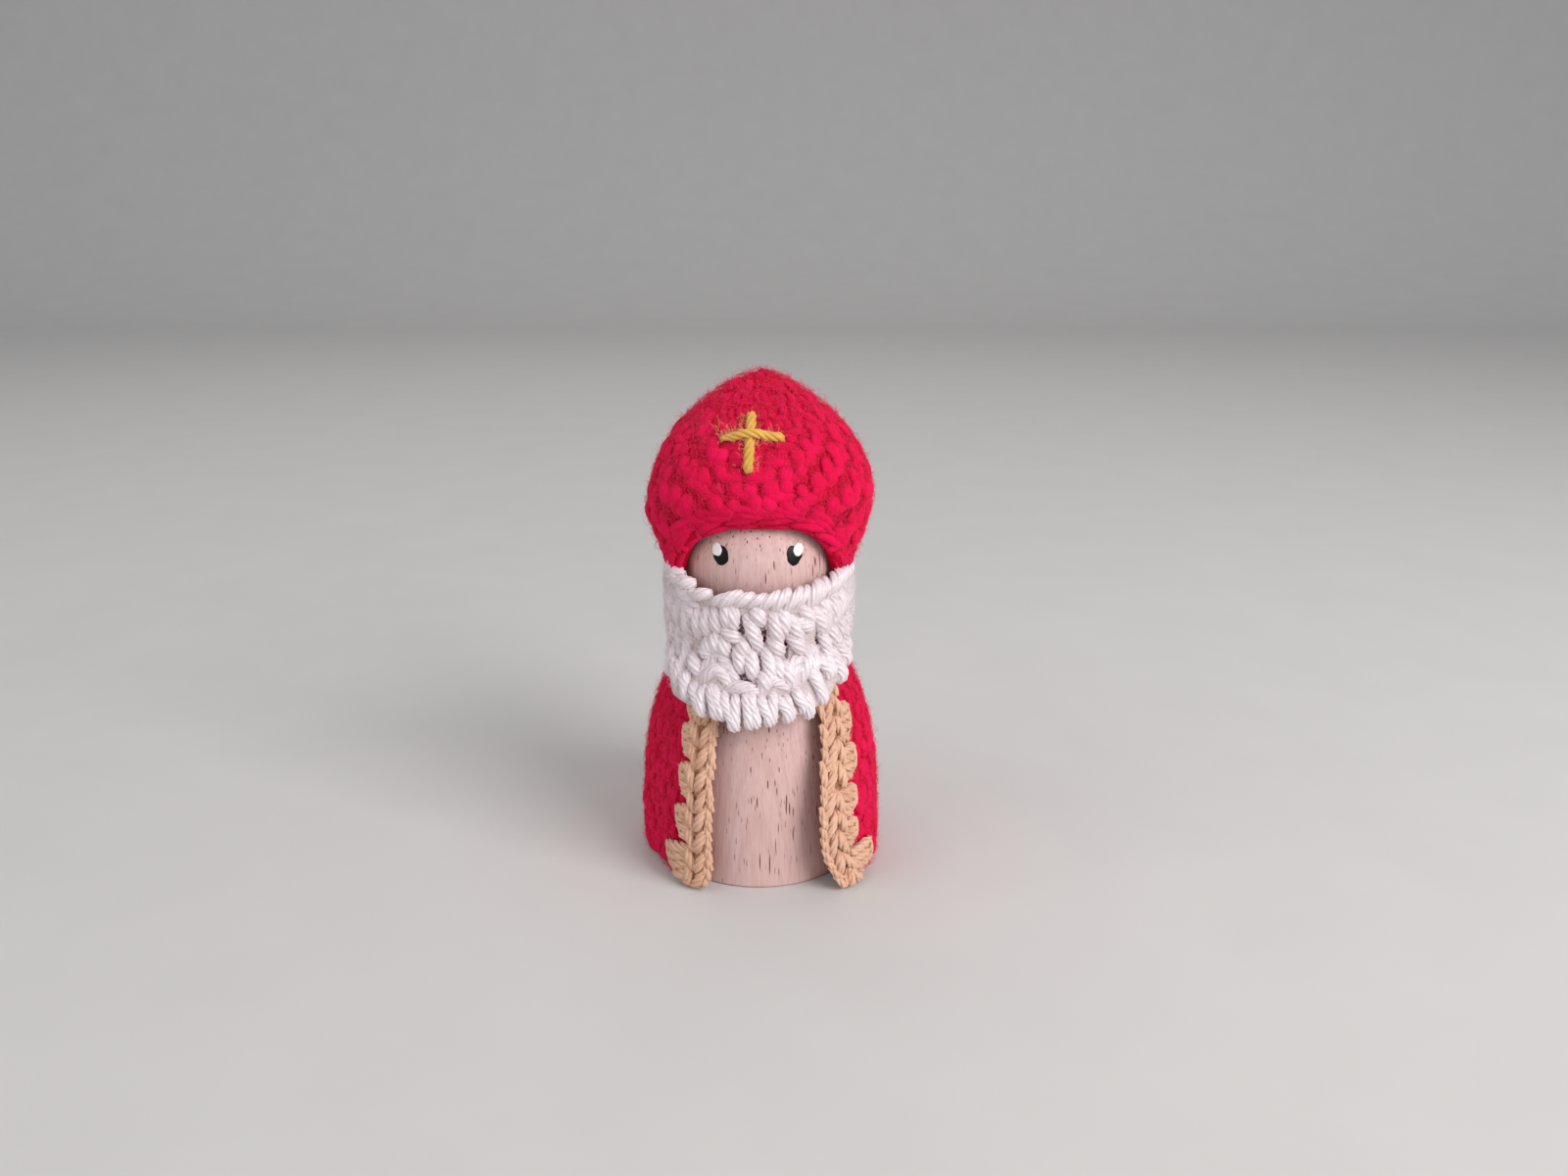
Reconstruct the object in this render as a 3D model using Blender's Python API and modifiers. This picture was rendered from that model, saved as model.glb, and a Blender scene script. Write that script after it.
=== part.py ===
"""A crocheted wooden figure: a turned beech peg doll dressed in a crocheted cape, beard and mitre.

The origin is the middle of the peg's base on the floor, +Z is up and the face looks along -Y.
Angles round the figure start at the face and grow towards +X. The mitre's heights, and those of
the face, are measured from the centre of the round head.
"""
import math

import bmesh
import bpy
import numpy as np

MM = 0.001

# Clearances between neighbours
FIT = 0.3 * MM
PAINT_FIT = 0.1 * MM
BLEND = 0.8 * MM
SEAM = 0.001 * MM

# Knobs of the crocheted fabric, and the depth of the dips between two in a row as a share of it
KNOB_HEIGHT = 0.9 * MM
DIP_SHARE = 0.6

# Peg, turned in one piece
BASE_RADIUS = 16.7 * MM
BASE_EDGE = 0.4 * MM
SHOULDER_HEIGHT = 39.0 * MM
NECK_RADIUS = 9.0 * MM
NECK_LENGTH = 5.8 * MM
HEAD_RADIUS = 12.5 * MM
HEAD_CENTRE = SHOULDER_HEIGHT + NECK_LENGTH + math.sqrt(HEAD_RADIUS ** 2 - NECK_RADIUS ** 2)
BODY_FULLNESS = 2.6
SHOULDER_ROUNDNESS = 0.8

# Painted eyes, placed by their turn from the middle of the face and their lift above its level
EYE_TURN = math.radians(27.9)
EYE_LIFT = math.radians(14.36)
PUPIL_WIDTH = 2.5 * MM
PUPIL_HEIGHT = 3.1 * MM
GLINT_WIDTH = 1.6 * MM
GLINT_HEIGHT = 2.0 * MM
GLINT_OFFSET = 0.65 * MM
GLINT_RISE = 0.8 * MM
PAINT = 0.25 * MM

# Cape, open at the front
CAPE_WALL = 2.0 * MM
CAPE_HEM = 0.8 * MM
NECKLINE_RISE = 0.5 * MM
CAPE_TOP = SHOULDER_HEIGHT + NECKLINE_RISE
HEM_EASE = 2.0 * MM
NECKLINE_EASE = 1.0 * MM
CAPE_SLOPE = 3.4
FRONT_TUCK = 2.2 * MM
TUCK_FULL = math.radians(62)
TUCK_END = math.radians(90)
RIGHT_TUCK_START = 12.0 * MM
RIGHT_TUCK_FULL = 28.0 * MM
RIGHT_FLARE = 0.6 * MM

# Chain that ties the cape round the neck
CHAIN_RADIUS = 1.0 * MM

# Gold trims along the front edges of the cape
TRIM_WALL = 1.5 * MM
TRIM_WIDTH = 5.0 * MM
TRIM_OVERHANG = 2.4 * MM
LEFT_OPENING = math.radians(27)
RIGHT_OPENING = math.radians(33)
RIGHT_OPENING_TOP = math.radians(42)
RIGHT_BOW_START = 14.0 * MM
LEFT_TRIM_DROP = 5.5 * MM
RIGHT_TRIM_DROP = 4.0 * MM
TRIM_FOOT = 0.3 * MM
TOOTH_PITCH = 7.3 * MM
TOOTH_LENGTH = 2.0 * MM
LAST_TOOTH = 1.8
TOOTH_TIP = 0.22

# Beard, hung across the chin from ear to ear
BEARD_WALL = 2.2 * MM
BEARD_EASE = 0.5 * MM
BEARD_DROP = 2.6 * MM
BEARD_EAR_RISE = 0.9 * MM
BEARD_HALF = math.radians(98)
BEARD_LEFT_CORNER = math.radians(50)
BEARD_RIGHT_CORNER = math.radians(38)
BEARD_LENGTH = 20.87 * MM
BEARD_HEM = HEAD_CENTRE - BEARD_DROP - BEARD_LENGTH
BEARD_CORNER_RISE = 1.6 * MM
BEARD_SIDE_CLIMB = 8.6 * MM
SIDE_CLIMB_ROUNDNESS = 1.8
BOBBLE_PITCH = math.radians(18.5)
BOBBLE_LENGTH = 1.6 * MM
BOBBLE_BULGE = 0.4 * MM
BOBBLE_SHARES = (0.05, 0.25)

# Mitre, loose on the head
MITRE_WALL = 2.6 * MM
MITRE_HALF_WIDTH = 18.5 * MM
FRONT_BULGE = 1.2 * MM
FRONT_BULGE_RISE = 4.0 * MM
MITRE_BACK_DEPTH = 16.0 * MM
MITRE_WIDEST = 9.5 * MM
MITRE_PEAK = 18.6 * MM
PEAK_BACK = 1.5 * MM
PEAK_RIGHT = 0.5 * MM
MITRE_SIDE_HALF_WIDTH = 14.8 * MM
RIM_FRONT = 8.1 * MM
RIM_SIDE = -1.1 * MM
RIM_BACK = -7.5 * MM
RIM_ARCH = (math.radians(8), math.radians(71))
RIM_ARCH_ROUNDNESS = 1.8
RIM_DIP = (math.radians(80), math.radians(170))
WIDTH_ROUNDNESS = 0.75
DEPTH_ROUNDNESS = 0.9
RIM_DRAW = 1.5

# Cross of two straight stitches on the mitre
STITCH_RADIUS = 0.7 * MM
UPRIGHT_X = -1.1 * MM
UPRIGHT_FOOT = 16.7 * MM
UPRIGHT_HEAD = 24.2 * MM
BAR_LEFT = -5.4 * MM
BAR_RIGHT = 3.5 * MM
BAR_HEIGHT = 20.8 * MM
BAR_BOW = 0.6 * MM
CROSSING_HALF = 2.4 * MM


def srgb(red, green, blue):
    """A colour written in 0 to 255 display values, as the linear values that a shader takes."""
    shares = [value / 255 for value in (red, green, blue)]
    return [share / 12.92 if share <= 0.04045 else ((share + 0.055) / 1.055) ** 2.4 for share in shares]


def make_material(name, colour, roughness):
    """A plain Principled material with the piece's own colour."""
    material = bpy.data.materials.new(name)
    material.use_nodes = True
    shader = material.node_tree.nodes["Principled BSDF"]
    shader.inputs["Base Color"].default_value = (*srgb(*colour), 1.0)
    shader.inputs["Roughness"].default_value = roughness
    shader.inputs["Metallic"].default_value = 0.0
    material.diffuse_color = (*srgb(*colour), 1.0)
    return material


def larger(first, second):
    """The larger of two radii, rounded off where they come within BLEND of each other."""
    near = max(BLEND - abs(first - second), 0.0) / BLEND
    return max(first, second) + near * near * BLEND / 4


def fade(value, start, end):
    """0 up to start, 1 from end on, and a smooth step between them."""
    share = min(max((value - start) / (end - start), 0.0), 1.0)
    return share * share * (3 - 2 * share)


def mix(first, second, share):
    """A value part of the way from first to second."""
    return first + (second - first) * share


def wrapped(angle, radius, z):
    """The point at this angle from the face, this far from the figure's axis."""
    return (radius * math.sin(angle), -radius * math.cos(angle), z)


def peg_radius(z):
    """Radius of the turned body at a height, full below and rounded in to the neck above."""
    share = min(max(z / SHOULDER_HEIGHT, 0.0), 1.0)
    swell = (1 - share ** BODY_FULLNESS) ** SHOULDER_ROUNDNESS
    return mix(NECK_RADIUS, BASE_RADIUS, swell)


def head_radius(rise):
    """Radius of the round head this far above or below its centre."""
    return math.sqrt(max(HEAD_RADIUS ** 2 - rise ** 2, 0.0))


def outside(radius, angle, z, distance):
    """Radius at a height of a layer that clears a wrapped surface by this distance in every direction."""
    steps = 12
    reach = 0.0
    for index in range(-steps, steps + 1):
        drop = distance * math.sin(math.pi / 2 * index / steps)
        reach = max(reach, radius(angle, z + drop) + math.sqrt(distance ** 2 - drop ** 2))
    return reach


def link(item, parent):
    """Put an object in the figure's collection, under its parent."""
    figure.objects.link(item)
    item.parent = parent
    return item


def add_sheet(name, columns, rows, place, wall, outwards, material, parent):
    """A grid bent by place(u, v) into a surface, then given a wall on its outer or inner side."""
    mesh = bpy.data.meshes.new(name)
    grid = bmesh.new()
    bmesh.ops.create_grid(grid, x_segments=columns, y_segments=rows, size=0.5)
    for vert in grid.verts:
        vert.co = place(vert.co.x + 0.5, vert.co.y + 0.5)
    bmesh.ops.remove_doubles(grid, verts=grid.verts, dist=SEAM)
    grid.to_mesh(mesh)
    grid.free()
    mesh.shade_smooth()
    mesh.materials.append(material)
    sheet = link(bpy.data.objects.new(name, mesh), parent)
    solidify = sheet.modifiers.new("wall", "SOLIDIFY")
    solidify.thickness = wall
    solidify.offset = 1.0 if outwards else -1.0
    solidify.use_even_offset = False
    return sheet


def square_off(surface, angle, height, distance):
    """A point moved square off a surface by this distance, outwards where it is positive."""
    turn = 0.002
    half_step = 0.05 * FIT
    along = np.subtract(surface(angle + turn, height), surface(angle - turn, height))
    upward = np.subtract(surface(angle, height + half_step), surface(angle, height - half_step))
    normal = np.cross(along, upward)
    return np.add(surface(angle, height), normal * distance / np.linalg.norm(normal))


def even_steps(points, values, steps):
    """The values at this many even steps along a line of points, both ends included."""
    lengths = np.linalg.norm(np.diff(points, axis=0), axis=1)
    run = np.concatenate([[0.0], np.cumsum(lengths)])
    return np.interp(np.linspace(0.0, run[-1], steps + 1), run, values)


def knob_dip(column, row):
    """How deep the fabric lies at a crossing of the grid, below the tops of its knobs.

    A row of stitches has two rows of the grid: its middle, where every other crossing is the top of a
    knob, and the line to the next row. The next row's knobs stand half a stitch along.
    """
    if row % 2 == 0:
        return KNOB_HEIGHT
    if (column + row // 2) % 2 == 1:
        return 0.0
    return DIP_SHARE * KNOB_HEIGHT


def add_shell(name, columns, rows, skin, lining, is_round, material, parent):
    """A closed shell between two grids of one size: a skin outside, a lining inside, and strips along their borders.

    A round shell has only its lower border: its seam meets and its top closes in a point on either side.
    """
    corners = []
    for surface in (skin, lining):
        for row in range(rows + 1):
            corners += [surface(column, row) for column in range(columns + 1)]

    def at(side, column, row):
        return (side * (rows + 1) + row) * (columns + 1) + column

    faces = []
    for column in range(columns):
        for row in range(rows):
            for side in (0, 1):
                face = [at(side, column, row), at(side, column + 1, row),
                        at(side, column + 1, row + 1), at(side, column, row + 1)]
                faces.append(face if side == 0 else face[::-1])
        faces.append([at(0, column, 0), at(1, column, 0), at(1, column + 1, 0), at(0, column + 1, 0)])
        if not is_round:
            faces.append([at(0, column, rows), at(0, column + 1, rows),
                          at(1, column + 1, rows), at(1, column, rows)])
    if not is_round:
        for row in range(rows):
            faces.append([at(0, 0, row), at(0, 0, row + 1), at(1, 0, row + 1), at(1, 0, row)])
            faces.append([at(0, columns, row), at(1, columns, row),
                          at(1, columns, row + 1), at(0, columns, row + 1)])
    mesh = bpy.data.meshes.new(name)
    mesh.from_pydata([tuple(corner) for corner in corners], [], faces)
    shell = bmesh.new()
    shell.from_mesh(mesh)
    bmesh.ops.remove_doubles(shell, verts=shell.verts, dist=SEAM)
    shell.to_mesh(mesh)
    shell.free()
    mesh.shade_smooth()
    mesh.materials.append(material)
    return link(bpy.data.objects.new(name, mesh), parent)


def add_tube(name, points, radius, material, parent):
    """A length of yarn along points, closed at both ends."""
    curve = bpy.data.curves.new(name, "CURVE")
    curve.dimensions = "3D"
    curve.bevel_depth = radius
    curve.bevel_resolution = 2
    curve.use_fill_caps = True
    spline = curve.splines.new("POLY")
    spline.points.add(len(points) - 1)
    for target, point in zip(spline.points, points):
        target.co = (*point, 1.0)
    curve.materials.append(material)
    return link(bpy.data.objects.new(name, curve), parent)


def add_peg(material, parent):
    """The turned peg: its profile runs down from the crown of the head to the middle of the base."""
    neck_turn = math.pi - math.asin(NECK_RADIUS / HEAD_RADIUS)
    head_steps = 14
    body_steps = 11
    turned_steps = 40
    profile = []
    for index in range(head_steps + 1):
        turn = neck_turn * index / head_steps
        profile.append((HEAD_RADIUS * math.sin(turn), HEAD_CENTRE + HEAD_RADIUS * math.cos(turn)))
    for index in range(body_steps):
        share = math.cos(math.pi / 2 * index / body_steps)
        z = mix(BASE_EDGE, SHOULDER_HEIGHT, share)
        profile.append((peg_radius(z), z))
    profile.append((peg_radius(BASE_EDGE), BASE_EDGE))
    profile.append((BASE_RADIUS - BASE_EDGE, 0.0))
    profile.append((0.0, 0.0))
    mesh = bpy.data.meshes.new("peg_body")
    corners = [(radius, 0.0, z) for radius, z in profile]
    edges = [(index, index + 1) for index in range(len(corners) - 1)]
    mesh.from_pydata(corners, edges, [])
    mesh.materials.append(material)
    peg = link(bpy.data.objects.new("peg_body", mesh), parent)
    screw = peg.modifiers.new("turning", "SCREW")
    screw.axis = "Z"
    screw.steps = turned_steps
    screw.render_steps = turned_steps
    screw.use_merge_vertices = True
    screw.merge_threshold = 0.05 * MM
    screw.use_smooth_shade = True
    return peg


def add_paint_spot(name, middle_x, middle_z, width, height, lift, material, parent):
    """An oval spot of paint that follows the round head."""
    reach = HEAD_RADIUS + lift
    cells = 6

    def place(u, v):
        across = 2 * u - 1
        along = 2 * v - 1
        x = middle_x + width / 2 * across * math.sqrt(1 - along * along / 2)
        z = middle_z + height / 2 * along * math.sqrt(1 - across * across / 2)
        return (x, -math.sqrt(reach * reach - x * x - z * z), z)

    return add_sheet(name, cells, cells, place, PAINT, True, material, parent)


def add_eyes(black, white, parent):
    """A black pupil on each side of the face, with a white glint on its upper half."""
    offset = HEAD_RADIUS * math.sin(EYE_TURN)
    rise = HEAD_RADIUS * math.sin(EYE_LIFT)
    glint_lift = PAINT_FIT + PAINT + PAINT_FIT
    for side, sign, glint_shift in (("left", -1, -GLINT_OFFSET), ("right", 1, GLINT_OFFSET)):
        x = sign * offset
        add_paint_spot("pupil_" + side, x, rise, PUPIL_WIDTH, PUPIL_HEIGHT, PAINT_FIT, black, parent)
        add_paint_spot("eye_glint_" + side, x + glint_shift, rise + GLINT_RISE,
                       GLINT_WIDTH, GLINT_HEIGHT, glint_lift, white, parent)


def cape_tuck(angle, z):
    """How far the cape's front edges are drawn in: the left one all the way, the right one only above."""
    front = 1 - fade(abs(angle), TUCK_FULL, TUCK_END)
    if angle < 0:
        return FRONT_TUCK * front
    tucked = FRONT_TUCK * fade(z, RIGHT_TUCK_START, RIGHT_TUCK_FULL)
    flared = RIGHT_FLARE * (1 - fade(z, CAPE_HEM, RIGHT_TUCK_START))
    return (tucked - flared) * front


def cape_inner(angle, z):
    """Inner radius of the cape: it falls from the neck over the shoulders and hangs clear of the peg."""
    share = max(z / CAPE_TOP, 0.0) ** CAPE_SLOPE
    free = mix(BASE_RADIUS + HEM_EASE, NECK_RADIUS + NECKLINE_EASE, share)
    return larger(free - cape_tuck(angle, z), peg_radius(z) + FIT)


def front_opening(sign, z):
    """Angle of the trim's inner edge. The right one stands back further above than below."""
    if sign < 0:
        return LEFT_OPENING
    return mix(RIGHT_OPENING, RIGHT_OPENING_TOP, fade(z, RIGHT_BOW_START, BEARD_HEM))


def add_cape(material, parent):
    """The cape, from its right front edge round the back to its left front edge, in rows of knobs."""
    edge_inset = TRIM_OVERHANG / (BASE_RADIUS + HEM_EASE)
    stitches = 22
    rows = 26
    columns = 2 * stitches
    drape = np.linspace(CAPE_HEM, CAPE_TOP, 60)
    row_heights = even_steps([wrapped(math.pi, cape_inner(math.pi, z), z) for z in drape], drape, rows)

    def inner(turn, z):
        return wrapped(turn, cape_inner(math.remainder(turn, 2 * math.pi), z), z)

    def place(column, row):
        z = row_heights[row]
        first = front_opening(1, z) + edge_inset
        last = 2 * math.pi - front_opening(-1, z) - edge_inset
        return mix(first, last, column / columns), z

    def skin(column, row):
        return square_off(inner, *place(column, row), CAPE_WALL - knob_dip(column, row))

    def lining(column, row):
        return inner(*place(column, row))

    return add_shell("cape", columns, rows, skin, lining, False, material, parent)


def add_neck_chain(material, parent):
    """The ring of chain stitches above the cape's neckline."""
    middle = NECK_RADIUS + FIT + CHAIN_RADIUS
    bpy.ops.mesh.primitive_torus_add(major_radius=middle, minor_radius=CHAIN_RADIUS,
                                     major_segments=32, minor_segments=8)
    torus = bpy.context.active_object
    torus.name = "neck_chain"
    for collection in list(torus.users_collection):
        collection.objects.unlink(torus)
    torus.data.name = "neck_chain"
    torus.data.shade_smooth()
    torus.data.materials.append(material)
    torus.location = (0.0, 0.0, CAPE_TOP + 2 * CHAIN_RADIUS)
    return link(torus, parent)


def trim_inner(angle, z):
    """Inner radius of a trim, which lies on the cape."""
    return outside(cape_inner, angle, z, CAPE_WALL + FIT)


def tooth_reach(z, sharp_above):
    """How far a tooth stands out at a height. Each is sharp on one side and runs out on the other."""
    count = z / TOOTH_PITCH
    share = count - math.floor(count)
    if sharp_above:
        share = 1 - share
    rise = share / TOOTH_TIP if share < TOOTH_TIP else (1 - share) / (1 - TOOTH_TIP)
    length = TOOTH_LENGTH * (LAST_TOOTH if count < 1 else 1.0)
    return length * math.sin(math.pi / 2 * rise)


def add_trim(name, sign, top, material, parent):
    """A toothed strip along a front edge. The left one's teeth are sharp above, the right one's below."""
    columns = 4
    rows = 32

    def place(u, v):
        z = mix(TRIM_FOOT, top, v)
        inner_edge = sign * front_opening(sign, z)
        reach = TRIM_WIDTH + tooth_reach(z, sign < 0)
        outer_edge = inner_edge + sign * reach / trim_inner(inner_edge, z)
        first, last = sorted((inner_edge, outer_edge))
        angle = mix(first, last, u)
        return wrapped(angle, trim_inner(angle, z), z)

    return add_sheet(name, columns, rows, place, TRIM_WALL, True, material, parent)


def mitre_rim(angle):
    """Height of the mitre's rim: an arch over the face, level at the ears and lowest behind."""
    turn = abs(math.remainder(angle, 2 * math.pi))
    arch = (RIM_FRONT - RIM_SIDE) * fade(turn, *RIM_ARCH) ** RIM_ARCH_ROUNDNESS
    dip = (RIM_SIDE - RIM_BACK) * fade(turn, *RIM_DIP)
    return RIM_FRONT - arch - dip


def mitre_half_width(rise):
    """Half the mitre's width: it swells from the ears to its widest and rounds in to the peak."""
    if rise > MITRE_WIDEST:
        share = min((rise - MITRE_WIDEST) / (HEAD_RADIUS + MITRE_PEAK - MITRE_WIDEST), 1.0)
        return MITRE_HALF_WIDTH * (1 - share ** 2) ** WIDTH_ROUNDNESS
    share = (MITRE_WIDEST - rise) / (MITRE_WIDEST - RIM_SIDE)
    return MITRE_HALF_WIDTH - (MITRE_HALF_WIDTH - MITRE_SIDE_HALF_WIDTH) * share ** RIM_DRAW


def mitre_depth(angle, rise):
    """The mitre's depth before or behind its middle: it is flatter than it is wide."""
    share = min(max((rise - MITRE_WIDEST) / (HEAD_RADIUS + MITRE_PEAK - MITRE_WIDEST), 0.0), 1.0)
    narrowing = (1 - share ** 2) ** DEPTH_ROUNDNESS
    if math.cos(angle) < 0:
        return MITRE_BACK_DEPTH * narrowing
    bulge = FRONT_BULGE * fade(rise, RIM_FRONT, RIM_FRONT + FRONT_BULGE_RISE)
    return (head_radius(RIM_FRONT) + FIT + MITRE_WALL + bulge) * narrowing


def mitre_radius(angle, rise):
    """Outer radius of the mitre: an oval that is wide enough to pass over the head."""
    width = mitre_half_width(rise)
    depth = mitre_depth(angle, rise)
    if width < SEAM or depth < SEAM:
        return 0.0
    oval = 1 / math.hypot(math.sin(angle) / width, math.cos(angle) / depth)
    if rise > HEAD_RADIUS:
        return oval
    fits_over = head_radius(max(rise, 0.0)) + FIT + MITRE_WALL
    return larger(oval, fits_over)


def mitre_point(angle, rise):
    """A point on the mitre, whose plan moves back and to the right a little as it rises."""
    back = PEAK_BACK * fade(rise, MITRE_WIDEST, HEAD_RADIUS + MITRE_PEAK)
    right = PEAK_RIGHT * fade(rise, RIM_FRONT, HEAD_RADIUS)
    x, y, z = wrapped(angle, mitre_radius(angle, rise), rise)
    return (x + right, y + back, z)


def add_mitre(material, parent):
    """The mitre: a plain band round its rim, then rounds of knobs that close up at the peak.

    Its stitches are evenly wide where it is widest, and its rounds evenly tall from the rim to the peak.
    """
    peak = HEAD_RADIUS + MITRE_PEAK
    stitches = 20
    rounds = 11
    columns = 2 * stitches
    rows = 2 * rounds
    turns = np.linspace(-math.pi, math.pi, 361)
    angles = even_steps([mitre_point(turn, MITRE_WIDEST) for turn in turns], turns, columns)
    crowding = np.linspace(0.0, 1.0, 160) ** 2
    rises = []
    for angle in angles:
        line = mix(peak, mitre_rim(angle), crowding)
        rises.append(even_steps([mitre_point(angle, rise) for rise in line], line, rows)[::-1])

    def skin(column, row):
        if row == rows:
            return mitre_point(0.0, peak)
        dip = knob_dip(column, row) if row > 1 else 0.0
        closing = min((rows - row) / 4, 1.0)
        return square_off(mitre_point, angles[column], rises[column][row], -dip * closing)

    def lining(column, row):
        if row == rows:
            return np.subtract(mitre_point(0.0, peak), (0.0, 0.0, MITRE_WALL))
        return square_off(mitre_point, angles[column], rises[column][row], -MITRE_WALL)

    return add_shell("mitre", columns, rows, skin, lining, True, material, parent)


def mitre_front(x, rise, lift):
    """A point lifted square off the front of the mitre, at this distance from the middle."""
    half_step = 0.05 * FIT
    settling_steps = 12

    def depth(x_at, rise_at):
        angle = math.asin(min(max(x_at / MITRE_HALF_WIDTH, -1.0), 1.0))
        for _ in range(settling_steps):
            angle = math.asin(min(max(x_at / mitre_radius(angle, rise_at), -1.0), 1.0))
        return mitre_point(angle, rise_at)[1]

    across = (depth(x + half_step, rise) - depth(x - half_step, rise)) / (2 * half_step)
    upward = (depth(x, rise + half_step) - depth(x, rise - half_step)) / (2 * half_step)
    length = math.sqrt(1 + across * across + upward * upward)
    return (x + across * lift / length, depth(x, rise) - lift / length, rise + upward * lift / length)


def add_cross(material, parent):
    """Two straight stitches of gold yarn. The bar passes over the upright."""
    count = 8
    seat = FIT + STITCH_RADIUS
    over = 2 * STITCH_RADIUS + FIT
    upright = []
    bar = []
    for index in range(count + 1):
        share = index / count
        upright.append(mitre_front(UPRIGHT_X, mix(UPRIGHT_FOOT, UPRIGHT_HEAD, share), seat))
        x = mix(BAR_LEFT, BAR_RIGHT, share)
        hump = 1 - fade(abs(x - UPRIGHT_X), STITCH_RADIUS, CROSSING_HALF + STITCH_RADIUS)
        middle = 1 - ((x - UPRIGHT_X) / (BAR_RIGHT - UPRIGHT_X)) ** 2
        bar.append(mitre_front(x, BAR_HEIGHT + BAR_BOW * middle, seat + over * hump))
    add_tube("cross_upright_stitch", upright, STITCH_RADIUS, material, parent)
    add_tube("cross_bar_stitch", bar, STITCH_RADIUS, material, parent)


def beard_inner(angle, z):
    """Inner radius of the beard: straight down from the cheeks, then out over the cape and its trims."""
    cheeks = head_radius(BEARD_DROP - BEARD_EAR_RISE) + FIT
    over_trims = outside(cape_inner, -TUCK_FULL, z, CAPE_WALL + FIT + TRIM_WALL + BEARD_EASE)
    over_cape = outside(cape_inner, angle, z, CAPE_WALL + BEARD_EASE)
    return larger(cheeks, max(over_trims, over_cape))


def beard_lobe(angle):
    """1 in the middle of a bobble and 0 between two of them."""
    return math.cos(math.pi * angle / BOBBLE_PITCH) ** 2


def past_corner(angle):
    """0 over the beard's lower edge, growing to 1 from either lower corner to the ear."""
    corner = BEARD_LEFT_CORNER if angle < 0 else BEARD_RIGHT_CORNER
    return min(max((abs(angle) - corner) / (BEARD_HALF - corner), 0.0), 1.0)


def beard_hem(angle):
    """Height of the beard's lower edge: bobbles below, then a climb from each corner to the ears."""
    corner = BEARD_LEFT_CORNER if angle < 0 else BEARD_RIGHT_CORNER
    rise = BEARD_CORNER_RISE * min(abs(angle) / corner, 1.0) ** 2
    climb = BEARD_SIDE_CLIMB * (1 - (1 - past_corner(angle)) ** SIDE_CLIMB_ROUNDNESS)
    scallop = BOBBLE_LENGTH * (1 - beard_lobe(angle)) * (1 - past_corner(angle))
    return BEARD_HEM + rise + climb + scallop


def beard_top(angle):
    """Height of the beard's upper edge, under the face and under the rim of the mitre."""
    across_face = HEAD_CENTRE - BEARD_DROP + BEARD_EAR_RISE * math.sin(angle) ** 2
    return min(across_face, HEAD_CENTRE + mitre_rim(angle) - FIT)


def add_beard(material, parent):
    """The beard, from ear to ear, thicker where its bobbles hang."""
    columns = 54
    rows = 12

    def place(u, v):
        angle = mix(-BEARD_HALF, BEARD_HALF, u)
        z = mix(beard_hem(angle), beard_top(angle), v)
        bulge = BOBBLE_BULGE * beard_lobe(angle) * (1 - past_corner(angle))
        return wrapped(angle, beard_inner(angle, z) + bulge * (1 - fade(v, *BOBBLE_SHARES)), z)

    return add_sheet("beard", columns, rows, place, BEARD_WALL, True, material, parent)


def add_empty(name, location, parent):
    """A place that other pieces hang on."""
    empty = bpy.data.objects.new(name, None)
    empty.location = location
    return link(empty, parent)


for item in list(bpy.data.objects):
    bpy.data.objects.remove(item, do_unlink=True)

figure = bpy.data.collections.new("crocheted_wooden_figure")
bpy.context.scene.collection.children.link(figure)

beech = make_material("beech", (208, 172, 150), 0.6)
black_paint = make_material("black_paint", (20, 18, 20), 0.3)
white_paint = make_material("white_paint", (238, 236, 232), 0.35)
red_yarn = make_material("red_yarn", (200, 18, 50), 0.9)
gold_yarn = make_material("gold_yarn", (215, 175, 125), 0.85)
yellow_yarn = make_material("yellow_yarn", (226, 178, 84), 0.85)
white_yarn = make_material("white_yarn", (236, 228, 224), 0.6)

stand = add_empty("figure", (0.0, 0.0, 0.0), None)
face = add_empty("face", (0.0, 0.0, HEAD_CENTRE), stand)
mitre_lift = add_empty("mitre_lift", (0.0, 0.0, HEAD_CENTRE), stand)

add_peg(beech, stand)
add_eyes(black_paint, white_paint, face)
add_cape(red_yarn, stand)
add_neck_chain(red_yarn, stand)
add_trim("trim_left", -1, CAPE_TOP - LEFT_TRIM_DROP, gold_yarn, stand)
add_trim("trim_right", 1, CAPE_TOP - RIGHT_TRIM_DROP, gold_yarn, stand)
add_beard(white_yarn, stand)
add_mitre(red_yarn, mitre_lift)
add_cross(yellow_yarn, mitre_lift)
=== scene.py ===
"""Looks of the crocheted wooden figure: a turned beech peg in a crocheted cape, beard and mitre.

Shapes are worked out in millimetres in the frame's own axes, and turned into metres when they are put
into a mesh. Angles round the figure start at the face and grow towards +X. Heights on the mitre's
surface are negative: they are measured down from its peak.
"""
import math

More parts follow.
